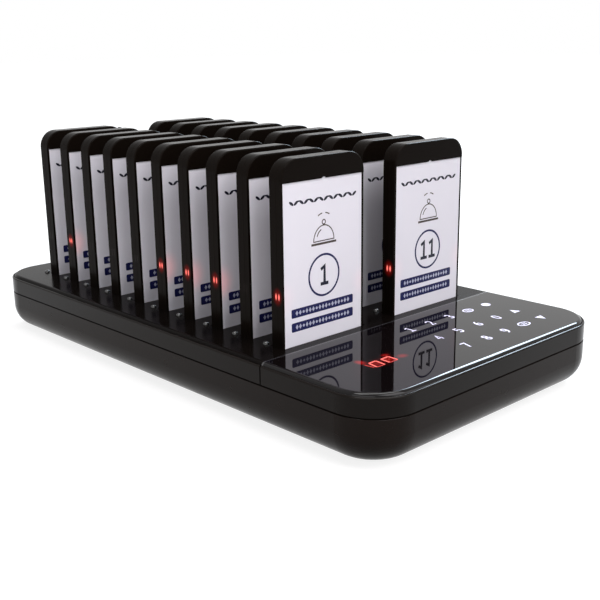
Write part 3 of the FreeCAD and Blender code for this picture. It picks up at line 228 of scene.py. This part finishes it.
LABEL = printed("label_card", (0.82, 0.80, 0.875), (0.85, 0.83, 0.90), patch=90)
WINDOW_EDGE = moulded("window_edge", (0.50, 0.50, 0.54), (0.62, 0.62, 0.66), (0.12, 0.25))
NAVY = printed("label_navy", (0.008, 0.009, 0.068), (0.011, 0.013, 0.084))
INK = printed("label_ink", (0.008, 0.008, 0.020), (0.014, 0.014, 0.030))
BROWN_INK = printed("label_brown", (0.055, 0.040, 0.036), (0.085, 0.065, 0.058))
PALE_INK = printed("label_pale", (0.42, 0.43, 0.56), (0.50, 0.51, 0.64))
TRIM = moulded("seam_trim_gloss", (0.020, 0.019, 0.021), (0.030, 0.029, 0.032), (0.14, 0.22),
               stretch=(1, 30, 1), ior=1.65)
SMOKED = moulded("smoked_lamp", (0.003, 0.003, 0.004), (0.005, 0.005, 0.006), (0.04, 0.06),
                 ior=1.6)
GUIDE_DARK = moulded("light_guide_off", (0.0060, 0.0032, 0.0026), (0.0080, 0.0045, 0.0036),
                     (0.16, 0.24), ior=1.12)
GOLD = moulded("gold_contact", (0.80, 0.58, 0.24), (0.86, 0.66, 0.32), (0.18, 0.3), metallic=1.0)
STEEL = moulded("steel_screw", (0.30, 0.30, 0.31), (0.38, 0.38, 0.40), (0.3, 0.42), metallic=1.0)
RUBBER = moulded("black_rubber", (0.014, 0.014, 0.015), (0.022, 0.022, 0.023), (0.6, 0.78),
                 grain=3500, grain_depth=0.02)
ANTENNA = moulded("antenna_rubber", (0.011, 0.010, 0.010), (0.017, 0.016, 0.016), (0.42, 0.55),
                  grain=5000, grain_depth=0.008)
INNER = moulded("inner_plastic", (0.012, 0.012, 0.013), (0.020, 0.020, 0.021), (0.45, 0.6),
                grain=4000, grain_depth=0.01)
BOARD = moulded("circuit_board", (0.010, 0.075, 0.030), (0.014, 0.10, 0.040), (0.25, 0.4),
                patch=300)
FROSTED = moulded("frosted_guide", (0.74, 0.76, 0.80), (0.80, 0.82, 0.86), (0.35, 0.5))
DISPLAY_BODY = moulded("display_body", (0.05, 0.004, 0.004), (0.08, 0.006, 0.006), (0.2, 0.3))
RIBBON = moulded("ribbon_cable", (0.32, 0.32, 0.34), (0.42, 0.42, 0.44), (0.4, 0.5), patch=500,
                 stretch=(8, 1, 1))
SHIELD = moulded("shield_metal", (0.55, 0.55, 0.57), (0.63, 0.63, 0.65), (0.25, 0.35),
                 metallic=1.0)
FOIL = moulded("battery_foil", (0.58, 0.59, 0.61), (0.66, 0.67, 0.69), (0.28, 0.42), metallic=1.0)
KEY_PRINT = glowing("key_print", (0.76, 0.70, 1.0), (0.40, 0.38, 0.48), (0.46, 0.44, 0.55),
                    (0.36, 0.44))
SEGMENT = glowing("display_segment", (1.0, 0.22, 0.18), (0.26, 0.01, 0.01), (0.34, 0.01, 0.01),
                  (0.9, 1.1))
SEGMENT_DIM = glowing("display_segment_dim", (1.0, 0.11, 0.09), (0.26, 0.01, 0.01),
                      (0.34, 0.01, 0.01), (0.28, 0.40))

# Painted light: the display's red light on the keypad's panel is painted into the panel's emission
# around its display: place, half spans (mm) and level of each glow.
DISPLAY_PAINTED_GLOWS = ((-43.0, -117.6, 12.5, 6.0, 0.06), (-46.9, -118.0, 4.2, 4.6, 0.20),
                 (-39.2, -118.0, 4.2, 4.6, 0.20), (-50.4, -112.4, 3.2, 4.6, 0.34),
                 (-31.8, -119.0, 4.2, 3.2, 0.22), (-36.4, -113.4, 3.2, 2.6, 0.26))
DISPLAY_PAINTED_RED = (1.0, 0.016, 0.014)
PAINTED_GLOW_HEIGHT, PAINTED_GLOW_REACH_UP = 32 * MM, 3 * MM
KEYPAD_GLOSS_PAINTED_GLOW = with_glow(GLOSS_PANEL, "gloss_panel_keypad_painted_glow", DISPLAY_PAINTED_RED, [
    ((x * MM, y * MM, PAINTED_GLOW_HEIGHT), (along * MM, across * MM, PAINTED_GLOW_REACH_UP), level)
    for x, y, along, across, level in DISPLAY_PAINTED_GLOWS])

NODE_MATERIALS = {
    "lower_shell": LOWER_SHELL, "rear_upper_shell": UPPER_SHELL, "front_upper_shell": UPPER_SHELL,
    "charging_deck": SATIN_DECK, "keypad_panel": KEYPAD_GLOSS_PAINTED_GLOW, "seam_trim": TRIM,
    "socket_tray": INNER, "charge_pins": GOLD, "charge_indicator_lamps": SMOKED,
    "charging_board": BOARD, "key_light_guide": FROSTED, "touch_board": BOARD,
    "display_module": DISPLAY_BODY, "control_board": BOARD, "keypad_ribbon": RIBBON,
    "board_link_ribbon": RIBBON, "buzzer": INNER, "rubber_feet": RUBBER, "case_screws": STEEL,
    "board_screws": STEEL, "power_inlet": INNER, "radio_module": SHIELD, "antenna_jack": GOLD,
    "antenna_jack_nut": GOLD, "antenna_base": ANTENNA, "antenna_hinge_pin": STEEL,
    "antenna_whip": ANTENNA, "pager_01_label_card": LABEL,
    "pager_01_circuit_board": BOARD, "pager_01_leds": FROSTED, "pager_01_battery": FOIL,
    "pager_01_vibration_motor": STEEL, "pager_01_charge_contacts": GOLD,
    "pager_01_screws": STEEL,
}


def give(obj, *materials):
    obj.data.materials.clear()
    for one in materials:
        obj.data.materials.append(one)


for node_name, node_material in NODE_MATERIALS.items():
    give(nodes[node_name], node_material)

# ------------------------------------------------------------------ faces of the pagers
# Pagers 2 to 20 are one node each: a face's place tells which piece of the pager it is.
PLASTIC_FACE, LABEL_FACE, EDGE_FACE, GUIDE_FACE, CONTACT_FACE = range(5)
TOUCH = 0.04 * MM                           # how close a face counts as lying on a piece
TAB_HALF = 1.72 * MM                        # half the window's small tab at its top
CONTACT_INNER, CONTACT_OUTER = 5.4 * MM, 10.6 * MM
FACING = 0.9                                # least part of a normal that points the way asked
GUIDE_MIDDLE = (guide_low + guide_high) / 2
SLIT_HALF = 0.5 * MM
SLIT_SIDE = (guide_high.y - guide_low.y) / 2 - SLIT_HALF


def face_piece(centre, normal):
    """Which piece a face belongs to; centre is counted from the pager's origin."""
    x, y, z = centre
    across, behind, above = abs(x), y + PAGER_FRONT, z + PAGER_FOOT
    in_window = (window_low.y - TOUCH < behind < window_high.y + TOUCH
                 and across < LABEL_HALF + TOUCH and window_low.z - TOUCH < above)
    in_tab = across < TAB_HALF and above < window_high.z
    if in_window and (above < LABEL_TOP + TOUCH or in_tab):
        return LABEL_FACE if normal.y < -FACING else EDGE_FACE
    if (guide_low.y - TOUCH < behind < guide_high.y + TOUCH and abs(normal.x) > FACING
            and guide_low.z - TOUCH < above < guide_high.z + TOUCH
            and across > guide_high.x - ROW_X - TOUCH):
        return GUIDE_FACE
    if (contact_low.y - TOUCH < behind < contact_high.y + TOUCH and above < PAGER_FOOT + TOUCH
            and CONTACT_INNER < across < CONTACT_OUTER):
        return CONTACT_FACE
    return PLASTIC_FACE


# Half spans (m) and levels of the glows around a light guide, which shines as two slits. The glows
# on the pager's plastic and label are painted light: the guide's red light falling on them,
# painted into their emission.
PLASTIC_PAINTED_GLOW, PLASTIC_PAINTED_GLOW_LEVEL = (0.004, 0.0036, 0.0052), 0.16
LABEL_PAINTED_GLOW, LABEL_PAINTED_GLOW_LEVEL, FRONT_LABEL_PAINTED_GLOW_LEVEL = (0.011, 0.01, 0.012), 0.30, 0.09
SLIT_GLOW, SLIT_LEVEL = (0.004, 0.0009, 0.0023), 1.8
LABEL_PAINTED_GLOW_DROP = 1 * MM
FRONT_PAGERS = (1, 11)


def lit_materials(number):
    """A lit pager's plastic, label and guides: the guides shine as two slits each, and the red
    light they cast on the plastic and the label is painted into those as a glow.
    """
    origin = pager_origin(number)
    y = origin.y + GUIDE_MIDDLE.y - PAGER_FRONT
    half = guide_high.x - ROW_X
    sides = [origin.x - half, origin.x + half]
    z = GUIDE_MIDDLE.z
    painted_label_glow_level = FRONT_LABEL_PAINTED_GLOW_LEVEL if number in FRONT_PAGERS else LABEL_PAINTED_GLOW_LEVEL
    # painted light: the red glow of the guides on the plastic and on the label
    plastic = with_glow(PAGER_PLASTIC, "pager_plastic_%02d" % number, (1.0, 0.006, 0.003),
                        [((x, y, z), PLASTIC_PAINTED_GLOW, PLASTIC_PAINTED_GLOW_LEVEL) for x in sides])
    label = with_glow(LABEL, "label_card_%02d" % number, (1.0, 0.10, 0.08),
                      [((x, y, z - LABEL_PAINTED_GLOW_DROP), LABEL_PAINTED_GLOW, painted_label_glow_level) for x in sides])
    guide = with_glow(GUIDE_DARK, "light_guide_%02d" % number, (1.0, 0.16, 0.13),
                      [((x, y + slit, z), SLIT_GLOW, SLIT_LEVEL) for x in sides
                       for slit in (-SLIT_SIDE, SLIT_SIDE)])
    return plastic, label, guide


for number in range(1, 2 * PAGERS_PER_ROW + 1):
    plastic, label, guide = PAGER_PLASTIC, LABEL, GUIDE_DARK
    # a lit pager's plastic and label carry the painted glow of its guides' red light
    if number in LIT_PAGERS:
        plastic, label, guide = lit_materials(number)
    if number == 1:
        give(nodes["pager_01_front_shell"], plastic)
        give(nodes["pager_01_back_shell"], plastic)
        give(nodes["pager_01_light_guides"], guide)
        window = nodes["pager_01_label_window"]
        give(window, label, WINDOW_EDGE)
        for polygon in window.data.polygons:
            polygon.material_index = 0 if polygon.normal.y < -FACING else 1
        continue
    pager = nodes["pager_%02d" % number]
    give(pager, plastic, label, WINDOW_EDGE, guide, GOLD)
    origin = pager_origin(number)
    for polygon in pager.data.polygons:
        polygon.material_index = face_piece(polygon.center - origin, polygon.normal)


# ------------------------------------------------------------------ flat prints as thin solids
STROKE_STEP = 0.002                         # mm
SHARPEST_TURN = 0.6                         # keeps a line's mitres short


def add_slab(mesh, outline, depth, to_place, material_index):
    """A thin closed slab: outline is a ring of (x, y) in mm, depth is (near, far) in mm in front
    of the face, and to_place puts (x, y, depth) in the row frame."""
    near_ring, far_ring = [[mesh.verts.new(to_place(x, y, level)) for x, y in outline]
                           for level in depth]
    made = [mesh.faces.new(near_ring), mesh.faces.new(far_ring)]
    for index in range(len(outline)):
        after = (index + 1) % len(outline)
        made.append(mesh.faces.new((near_ring[index], near_ring[after],
                                    far_ring[after], far_ring[index])))
    for face in made:
        face.material_index = material_index


def raised(depth, step):
    """The depth of the step-th of several strokes that cross, so that no two end level."""
    near_level, far_level = depth
    return near_level, far_level + STROKE_STEP * step


def ellipse(x, y, half_width, half_height=None, count=48, turn=0.0):
    half_height = half_width if half_height is None else half_height
    points = []
    for index in range(count):
        angle = 2 * math.pi * index / count
        along, across = half_width * math.cos(angle), half_height * math.sin(angle)
        points.append((x + along * math.cos(turn) - across * math.sin(turn),
                       y + along * math.sin(turn) + across * math.cos(turn)))
    return points


def rounded(x_low, x_high, y_low, y_high, radius, steps=6):
    points = []
    corners = ((x_high - radius, y_low + radius, -90), (x_high - radius, y_high - radius, 0),
               (x_low + radius, y_high - radius, 90), (x_low + radius, y_low + radius, 180))
    for x, y, start in corners:
        for step in range(steps + 1):
            angle = math.radians(start + 90 * step / steps)
            points.append((x + radius * math.cos(angle), y + radius * math.sin(angle)))
    return points


def add_line(mesh, points, width, depth, to_place, material_index):
    """A thin solid line of even width along the points, closed where the last is the first."""
    points = [Vector(point) for point in points]
    closed = (points[0] - points[-1]).length < 1e-6
    if closed:
        points.pop()
    count = len(points)
    one, other = [], []
    for index, here in enumerate(points):
        before = points[index - 1] if closed or index else None
        after = points[(index + 1) % count] if closed or index < count - 1 else None
        into = (here - before).normalized() if before else (after - here).normalized()
        out = (after - here).normalized() if after else into
        aside = Vector((-(into.y + out.y), into.x + out.x)).normalized()
        reach = width / 2 / max(aside.dot(Vector((-into.y, into.x))), SHARPEST_TURN)
        one.append(here + aside * reach)
        other.append(here - aside * reach)
    near_one, near_other, far_one, far_other = [
        [mesh.verts.new(to_place(x, y, level)) for x, y in side]
        for level in depth for side in (one, other)]
    made = []
    for index in range(count if closed else count - 1):
        after = (index + 1) % count
        made += [mesh.faces.new(corners) for corners in (
            (near_one[index], near_one[after], near_other[after], near_other[index]),
            (far_one[index], far_one[after], far_other[after], far_other[index]),
            (near_one[index], near_one[after], far_one[after], far_one[index]),
            (near_other[index], near_other[after], far_other[after], far_other[index]))]
    if not closed:
        made += [mesh.faces.new((near_one[end], near_other[end], far_other[end], far_one[end]))
                 for end in (0, -1)]
    for face in made:
        face.material_index = material_index


def arc(x, y, half_width, half_height, start, end, count=16):
    return [(x + half_width * math.cos(math.radians(start + (end - start) * step / count)),
             y + half_height * math.sin(math.radians(start + (end - start) * step / count)))
            for step in range(count + 1)]


# Centre lines of the digits in a box 0.56 wide and 1 high.
DIGIT_HALF_WIDTH, DIGIT_ADVANCE = 0.28, 0.70
DIGITS = {
    "0": [arc(0.28, 0.5, 0.22, 0.44, 0, 360, 32)],
    "1": [[(0.06, 0.80), (0.31, 0.95), (0.31, 0.05)], [(0.03, 0.05), (0.58, 0.05)]],
    "2": [arc(0.27, 0.70, 0.21, 0.24, 165, -32, 18) + [(0.07, 0.05), (0.51, 0.05)]],
    "3": [arc(0.25, 0.73, 0.20, 0.21, 150, -90, 18), arc(0.25, 0.285, 0.23, 0.235, 90, -150, 18)],
    "4": [[(0.41, 0.02), (0.41, 0.92), (0.05, 0.30), (0.54, 0.30)]],
    "5": [[(0.48, 0.95), (0.13, 0.95), (0.10, 0.56)] + arc(0.25, 0.33, 0.25, 0.28, 118, -148, 20)],
    "6": [arc(0.28, 0.31, 0.21, 0.26, 0, 360, 28), arc(0.53, 0.34, 0.46, 0.61, 100, 176, 12)],
    "7": [[(0.05, 0.95), (0.51, 0.95), (0.20, 0.02)]],
    "8": [arc(0.28, 0.735, 0.18, 0.205, 0, 360, 26), arc(0.28, 0.285, 0.22, 0.235, 0, 360, 28)],
    "9": [arc(0.28, 0.69, 0.21, 0.26, 0, 360, 28), arc(0.03, 0.66, 0.46, 0.61, -80, -4, 12)],
}


def add_digits(mesh, digits, height, line, x, y, depth, to_place, material_index):
    """Digits centred on (x, y)."""
    advance = DIGIT_ADVANCE * height
    start = x - (len(digits) - 1) * advance / 2 - DIGIT_HALF_WIDTH * height
    for place, digit in enumerate(digits):
        for step, points in enumerate(DIGITS[digit]):
            moved = [(start + place * advance + px * height, y + (py - 0.5) * height)
                     for px, py in points]
            add_line(mesh, moved, line, raised(depth, step), to_place, material_index)


def finish_mesh(mesh, name, materials, body):
    bmesh.ops.recalc_face_normals(mesh, faces=mesh.faces[:])
    data = bpy.data.meshes.new(name)
    for one in materials:
        data.materials.append(one)
    mesh.to_mesh(data)
    mesh.free()
    piece = bpy.data.objects.new(name, data)
    bpy.context.scene.collection.objects.link(piece)
    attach(piece, body)
    return piece


# ------------------------------------------------------------------ label prints
# Sizes in mm; heights on a label count down from its top edge.
NAVY_PRINT, INK_PRINT, BROWN_PRINT, PALE_PRINT = range(4)
PRINT_DEPTH = (-0.02, 0.03)
OVERPRINT_DEPTH = (0.02, 0.05)
LEAF_PAIRS_ASIDE, LEAF_PITCH, LEAF_DROP = 3, 5.9, 8.8
LEAF_SHIFT, LEAF_HALF_LENGTH, LEAF_HALF_WIDTH, LEAF_TILT = 1.35, 1.5, 0.62, math.radians(34)
BERRY_RISE, BERRY_RADIUS = 0.6, 0.42
RING_DROP, RING_RADIUS, RING_LINE = 42.6, 9.2, 0.95
NUMBER_HEIGHT, NUMBER_LINE = 8.7, 1.5
BARS = ((54.8, 58.8), (61.0, 65.1))
BAR_LEFT, BAR_RIGHT, BAR_CORNER = -19.9, 18.3, 0.7
MARKS, MARK_INSET, MARK_HALF_WIDTH, MARK_HALF_HEIGHT, DOT_RADIUS = 17, 3.2, 0.8, 1.15, 0.62
DOT_EVERY, DOT_FIRST = 4, 2
BELL_DROP, BELL_LINE, BELL_PLATE_LINE = 27.2, 0.5, 1.0


def print_label(number):
    origin = pager_origin(number)

    def to_place(x, drop, level):
        return Vector((origin.x + x * MM, WINDOW_FRONT + origin.y - PAGER_FRONT - level * MM,
                       LABEL_TOP + drop * MM))
    mesh = bmesh.new()
    # a straight row of leaves and berries across the head of the label
    for index in range(-LEAF_PAIRS_ASIDE, LEAF_PAIRS_ASIDE + 1):
        x, y = index * LEAF_PITCH, -LEAF_DROP
        for way in (-1, 1):
            leaf = ellipse(x + way * LEAF_SHIFT, y, LEAF_HALF_LENGTH, LEAF_HALF_WIDTH, 20,
                           LEAF_TILT * way)
            add_slab(mesh, leaf, raised(PRINT_DEPTH, way / 2), to_place, INK_PRINT)
        if index < LEAF_PAIRS_ASIDE:
            berry = ellipse(x + LEAF_PITCH / 2, y + BERRY_RISE, BERRY_RADIUS, count=12)
            add_slab(mesh, berry, PRINT_DEPTH, to_place, INK_PRINT)
    # a counter bell in line work: dome, plate, shine, knob and two strokes of sound
    foot = -BELL_DROP
    lines = (
        (arc(0, foot, 6.2, 6.8, 0, 180, 28) + [(6.2, foot)], BELL_LINE),
        ([(-7.6, foot - 1.2), (7.6, foot - 1.2)], BELL_PLATE_LINE),
        (arc(0, foot + 0.9, 4.2, 4.4, 112, 165, 10), BELL_LINE),
        (arc(0, foot + 8.2, 1.0, 1.0, 0, 360, 20), BELL_LINE),
        (arc(0, foot + 7.6, 5.6, 4.6, 52, 80, 8), BELL_LINE),
        (arc(0, foot + 7.6, 5.6, 4.6, 100, 128, 8), BELL_LINE),
    )
    for step, (points, line) in enumerate(lines):
        add_line(mesh, points, line, raised(PRINT_DEPTH, step), to_place, BROWN_PRINT)
    # the ring with the pager's number
    add_line(mesh, arc(0, -RING_DROP, RING_RADIUS, RING_RADIUS, 0, 360, 72), RING_LINE,
             PRINT_DEPTH, to_place, NAVY_PRINT)
    add_digits(mesh, str(number), NUMBER_HEIGHT, NUMBER_LINE, 0, -RING_DROP, PRINT_DEPTH,
               to_place, INK_PRINT)
    # two bars, each with a row of small marks
    for top, bottom in BARS:
        add_slab(mesh, rounded(BAR_LEFT, BAR_RIGHT, -bottom, -top, BAR_CORNER), PRINT_DEPTH,
                 to_place, NAVY_PRINT)
        level = -(top + bottom) / 2
        for index in range(MARKS):
            x = (BAR_LEFT + MARK_INSET
                 + index * (BAR_RIGHT - BAR_LEFT - 2 * MARK_INSET) / (MARKS - 1))
            mark = [(x - MARK_HALF_WIDTH, level), (x, level - MARK_HALF_HEIGHT),
                    (x + MARK_HALF_WIDTH, level), (x, level + MARK_HALF_HEIGHT)]
            if index % DOT_EVERY == DOT_FIRST:
                mark = ellipse(x, level, DOT_RADIUS, count=16)
            add_slab(mesh, mark, OVERPRINT_DEPTH, to_place, PALE_PRINT)
    return finish_mesh(mesh, "label_print_%02d" % number, (NAVY, INK, BROWN_INK, PALE_INK),
                       "pager_%02d" % number)


for number in range(1, 2 * PAGERS_PER_ROW + 1):
    print_label(number)

# ------------------------------------------------------------------ keypad symbols and display
KEY_COLUMNS = (-1.6, 13.1, 27.5, 42.1, 56.6)
KEY_ROWS = (-97.5, -114.0, -129.4)
DIGIT_HEIGHT, DIGIT_LINE, ICON_LINE = 5.6, 0.8, 0.7
OVAL_KEYS = ((KEY_COLUMNS[3], KEY_ROWS[0], 2.9, 2.1), (KEY_COLUMNS[3], KEY_ROWS[2], 3.5, 2.2))
OVAL_BAR_HALF, OVAL_BAR_SHIFT, OVAL_BAR_LINE = 1.7, 0.6, 0.5
DOT_HALF_WIDTH, DOT_HALF_HEIGHT, DOT_LINE = 1.5, 1.3, 2.0
ARROW_SIZE, ARROW_FOOT = 2.4, 0.9           # the foot as a part of the size
SYMBOL_DEPTH = (-0.02, 0.02)


def on_panel(x, y, level):
    return Vector((x * MM, y * MM, DECK_TOP + level * MM))


def add_keys():
    mesh = bmesh.new()
    for row, digits in zip(KEY_ROWS, ("123", "4560", "789")):
        for x, digit in zip(KEY_COLUMNS, digits):
            add_digits(mesh, digit, DIGIT_HEIGHT, DIGIT_LINE, x, row, SYMBOL_DEPTH, on_panel, 0)
    # two oval keys with short bars in them
    for x, y, half_width, half_height in OVAL_KEYS:
        add_line(mesh, arc(x, y, half_width, half_height, 0, 360, 40), ICON_LINE, SYMBOL_DEPTH,
                 on_panel, 0)
        for shift in (-OVAL_BAR_SHIFT, OVAL_BAR_SHIFT):
            add_line(mesh, [(x - OVAL_BAR_HALF, y + shift), (x + OVAL_BAR_HALF, y + shift)],
                     OVAL_BAR_LINE, SYMBOL_DEPTH, on_panel, 0)
    # a dot, and an arrow up and one down under it
    x = KEY_COLUMNS[4]
    add_line(mesh, arc(x, KEY_ROWS[0], DOT_HALF_WIDTH, DOT_HALF_HEIGHT, 0, 360, 40), DOT_LINE,
             SYMBOL_DEPTH, on_panel, 0)
    for y, way in ((KEY_ROWS[1], 1), (KEY_ROWS[2], -1)):
        foot = y - ARROW_SIZE * way * ARROW_FOOT
        add_slab(mesh, [(x - ARROW_SIZE, foot), (x + ARROW_SIZE, foot),
                        (x, y + ARROW_SIZE * way)], SYMBOL_DEPTH, on_panel, 0)
    return finish_mesh(mesh, "key_symbols", (KEY_PRINT,), "charging_base")


BRIGHT, DIM = 0, 1
SEGMENT_LINE, DIM_SEGMENT_LINE, STROKE_LINE, SEGMENT_GAP = 0.85, 0.5, 0.6, 0.1
DIGIT_SQUARES = (((-49.7, -120.9), (-45.1, -121.1), (-44.4, -115.4), (-48.7, -115.5)),
                 ((-41.7, -120.8), (-36.8, -120.8), (-36.7, -115.4), (-41.4, -115.6)))
STROKE_BESIDE = ((-50.9, -120.4), (-51.5, -115.6))


def add_display():
    """The lit squares of two seven-segment digits, each with its near side dim, and a dim stroke
    to the left of them."""
    mesh = bmesh.new()
    for square in DIGIT_SQUARES:
        for step in range(4):
            start, end = Vector(square[step]), Vector(square[(step + 1) % 4])
            along = (end - start).normalized() * SEGMENT_GAP
            add_line(mesh, [start + along, end - along],
                     SEGMENT_LINE if step else DIM_SEGMENT_LINE, raised(SYMBOL_DEPTH, step),
                     on_panel, BRIGHT if step else DIM)
    add_line(mesh, STROKE_BESIDE, STROKE_LINE, SYMBOL_DEPTH, on_panel, DIM)
    return finish_mesh(mesh, "display_segments", (SEGMENT, SEGMENT_DIM), "charging_base")


add_keys()
add_display()

# ------------------------------------------------------------------ floor, world and lamps
# Lengths in metres.  The floor glows a little less near the object, where the lamps' light on it
# makes up for that.  The table's bounce is a strip along the object's left.
FLOOR_HALF = 6.0
FLOOR_GLOW, FLOOR_GLOW_REACH, FLOOR_COLOUR = 0.82, 0.7, 0.25
BOUNCE_RISE, BOUNCE_FALL = (-0.34, -0.20), (-0.16, -0.10)
BOUNCE_FAR, TABLE_BOUNCE, BOUNCE_UNDER = 0.12, 2.4, 0.03
WORLD_LOW, WORLD_HIGH = 0.08, 0.25
WORLD_RISE = (-0.1, 0.9)


def shown_to(tree):
    """1 for the rays that show the background: of the camera, and of gloss and glass."""
    path = tree.nodes.new("ShaderNodeLightPath")
    either = calculated(tree, "MAXIMUM", path.outputs["Is Camera Ray"],
                        path.outputs["Is Glossy Ray"])
    return calculated(tree, "MAXIMUM", either, path.outputs["Is Transmission Ray"])


def chosen(tree, fac, one, other):
    """The other shader where fac is 1, or else the first."""
    mix = tree.nodes.new("ShaderNodeMixShader")
    tree.links.new(fac, mix.inputs["Fac"])
    tree.links.new(one.outputs[0], mix.inputs[1])
    tree.links.new(other.outputs[0], mix.inputs[2])
    return mix


def split(tree, output_name):
    coordinates = tree.nodes.new("ShaderNodeTexCoord")
    parts = tree.nodes.new("ShaderNodeSeparateXYZ")
    tree.links.new(coordinates.outputs[output_name], parts.inputs[0])
    return parts.outputs


def make_floor():
    mesh = bmesh.new()
    corners = [mesh.verts.new((x * FLOOR_HALF, y * FLOOR_HALF, 0))
               for x, y in ((-1, -1), (1, -1), (1, 1), (-1, 1))]
    mesh.faces.new(corners)
    data = bpy.data.meshes.new("floor")
    mesh.to_mesh(data)
    mesh.free()
    floor = bpy.data.objects.new("floor", data)
    bpy.context.scene.collection.objects.link(floor)
    made = bpy.data.materials.new("floor")
    made.use_nodes = True
    tree = made.node_tree
    tree.nodes.clear()
    output = tree.nodes.new("ShaderNodeOutputMaterial")
    place = split(tree, "Object")
    # white where the background shows, but for the object's own shadow
    shown = node_of(tree, "ShaderNodeAddShader")
    white = node_of(tree, "ShaderNodeEmission", Color=(1, 1, 1, 1))
    glow = near(tree, (0, 0, 0), (FLOOR_GLOW_REACH, FLOOR_GLOW_REACH, 1), FLOOR_GLOW, 1.0)
    tree.links.new(glow, white.inputs["Strength"])
    pale = node_of(tree, "ShaderNodeBsdfDiffuse",
                   Color=(FLOOR_COLOUR, FLOOR_COLOUR, FLOOR_COLOUR, 1))
    tree.links.new(white.outputs[0], shown.inputs[0])
    tree.links.new(pale.outputs[0], shown.inputs[1])
    # soft light goes up from the table to the object's left
    bounce = node_of(tree, "ShaderNodeEmission", Color=(1, 0.97, 0.97, 1))
    rise = ranged(tree, place["X"], *BOUNCE_RISE, BOUNCE_FAR, TABLE_BOUNCE, "SMOOTHSTEP")
    fall = ranged(tree, place["X"], *BOUNCE_FALL, 1, BOUNCE_UNDER, "SMOOTHSTEP")
    tree.links.new(calculated(tree, "MULTIPLY", rise, fall), bounce.inputs["Strength"])
    seen = chosen(tree, shown_to(tree), bounce, shown)
    tree.links.new(seen.outputs[0], output.inputs["Surface"])
    data.materials.append(made)


def make_world():
    world = bpy.data.worlds.new("studio")
    bpy.context.scene.world = world
    world.use_nodes = True
    tree = world.node_tree
    tree.nodes.clear()
    output = tree.nodes.new("ShaderNodeOutputWorld")
    way = split(tree, "Generated")
    backdrop = node_of(tree, "ShaderNodeBackground", Color=(1, 1, 1, 1), Strength=1.0)
    # soft light comes from above more than from the sides
    fill = node_of(tree, "ShaderNodeBackground", Color=(1, 0.985, 1, 1))
    tree.links.new(ranged(tree, way["Z"], *WORLD_RISE, WORLD_LOW, WORLD_HIGH, "SMOOTHSTEP"),
                   fill.inputs["Strength"])
    seen = chosen(tree, shown_to(tree), fill, backdrop)
    tree.links.new(seen.outputs[0], output.inputs["Surface"])


def add_lamp(name, place, aim, size, power, colour):
    """An area lamp at a place, turned to an aim; power in watts."""
    lamp = bpy.data.lights.new(name, "AREA")
    lamp.shape = "RECTANGLE"
    lamp.size, lamp.size_y = size
    lamp.energy = power
    lamp.color = colour
    carrier = bpy.data.objects.new(name, lamp)
    bpy.context.scene.collection.objects.link(carrier)
    carrier.location = place
    carrier.rotation_mode = "QUATERNION"
    carrier.rotation_quaternion = (Vector(aim) - Vector(place)).to_track_quat("-Z", "Y")


make_floor()
make_world()
add_lamp("key", (0.55, -1.35, 0.62), (0, -0.05, 0.06), (1.3, 0.9), 7.0, (1, 0.985, 1))
add_lamp("front_high", (0.10, -0.85, 1.05), (0, 0, 0.06), (0.9, 0.75), 9.8, (1, 0.985, 1))
add_lamp("left_low", (-1.05, -0.50, 0.50), (0, 0, 0.06), (1.0, 0.8), 4.1, (1, 0.97, 0.97))
add_lamp("edge_light", (1.08, 0.25, 0.76), (0, 0, 0.04), (0.8, 0.35), 20, (0.72, 0.86, 1))
add_lamp("overhead", (0, 0, 1.20), (0, 0, 0), (1.4, 0.3), 11, (1, 1, 1))
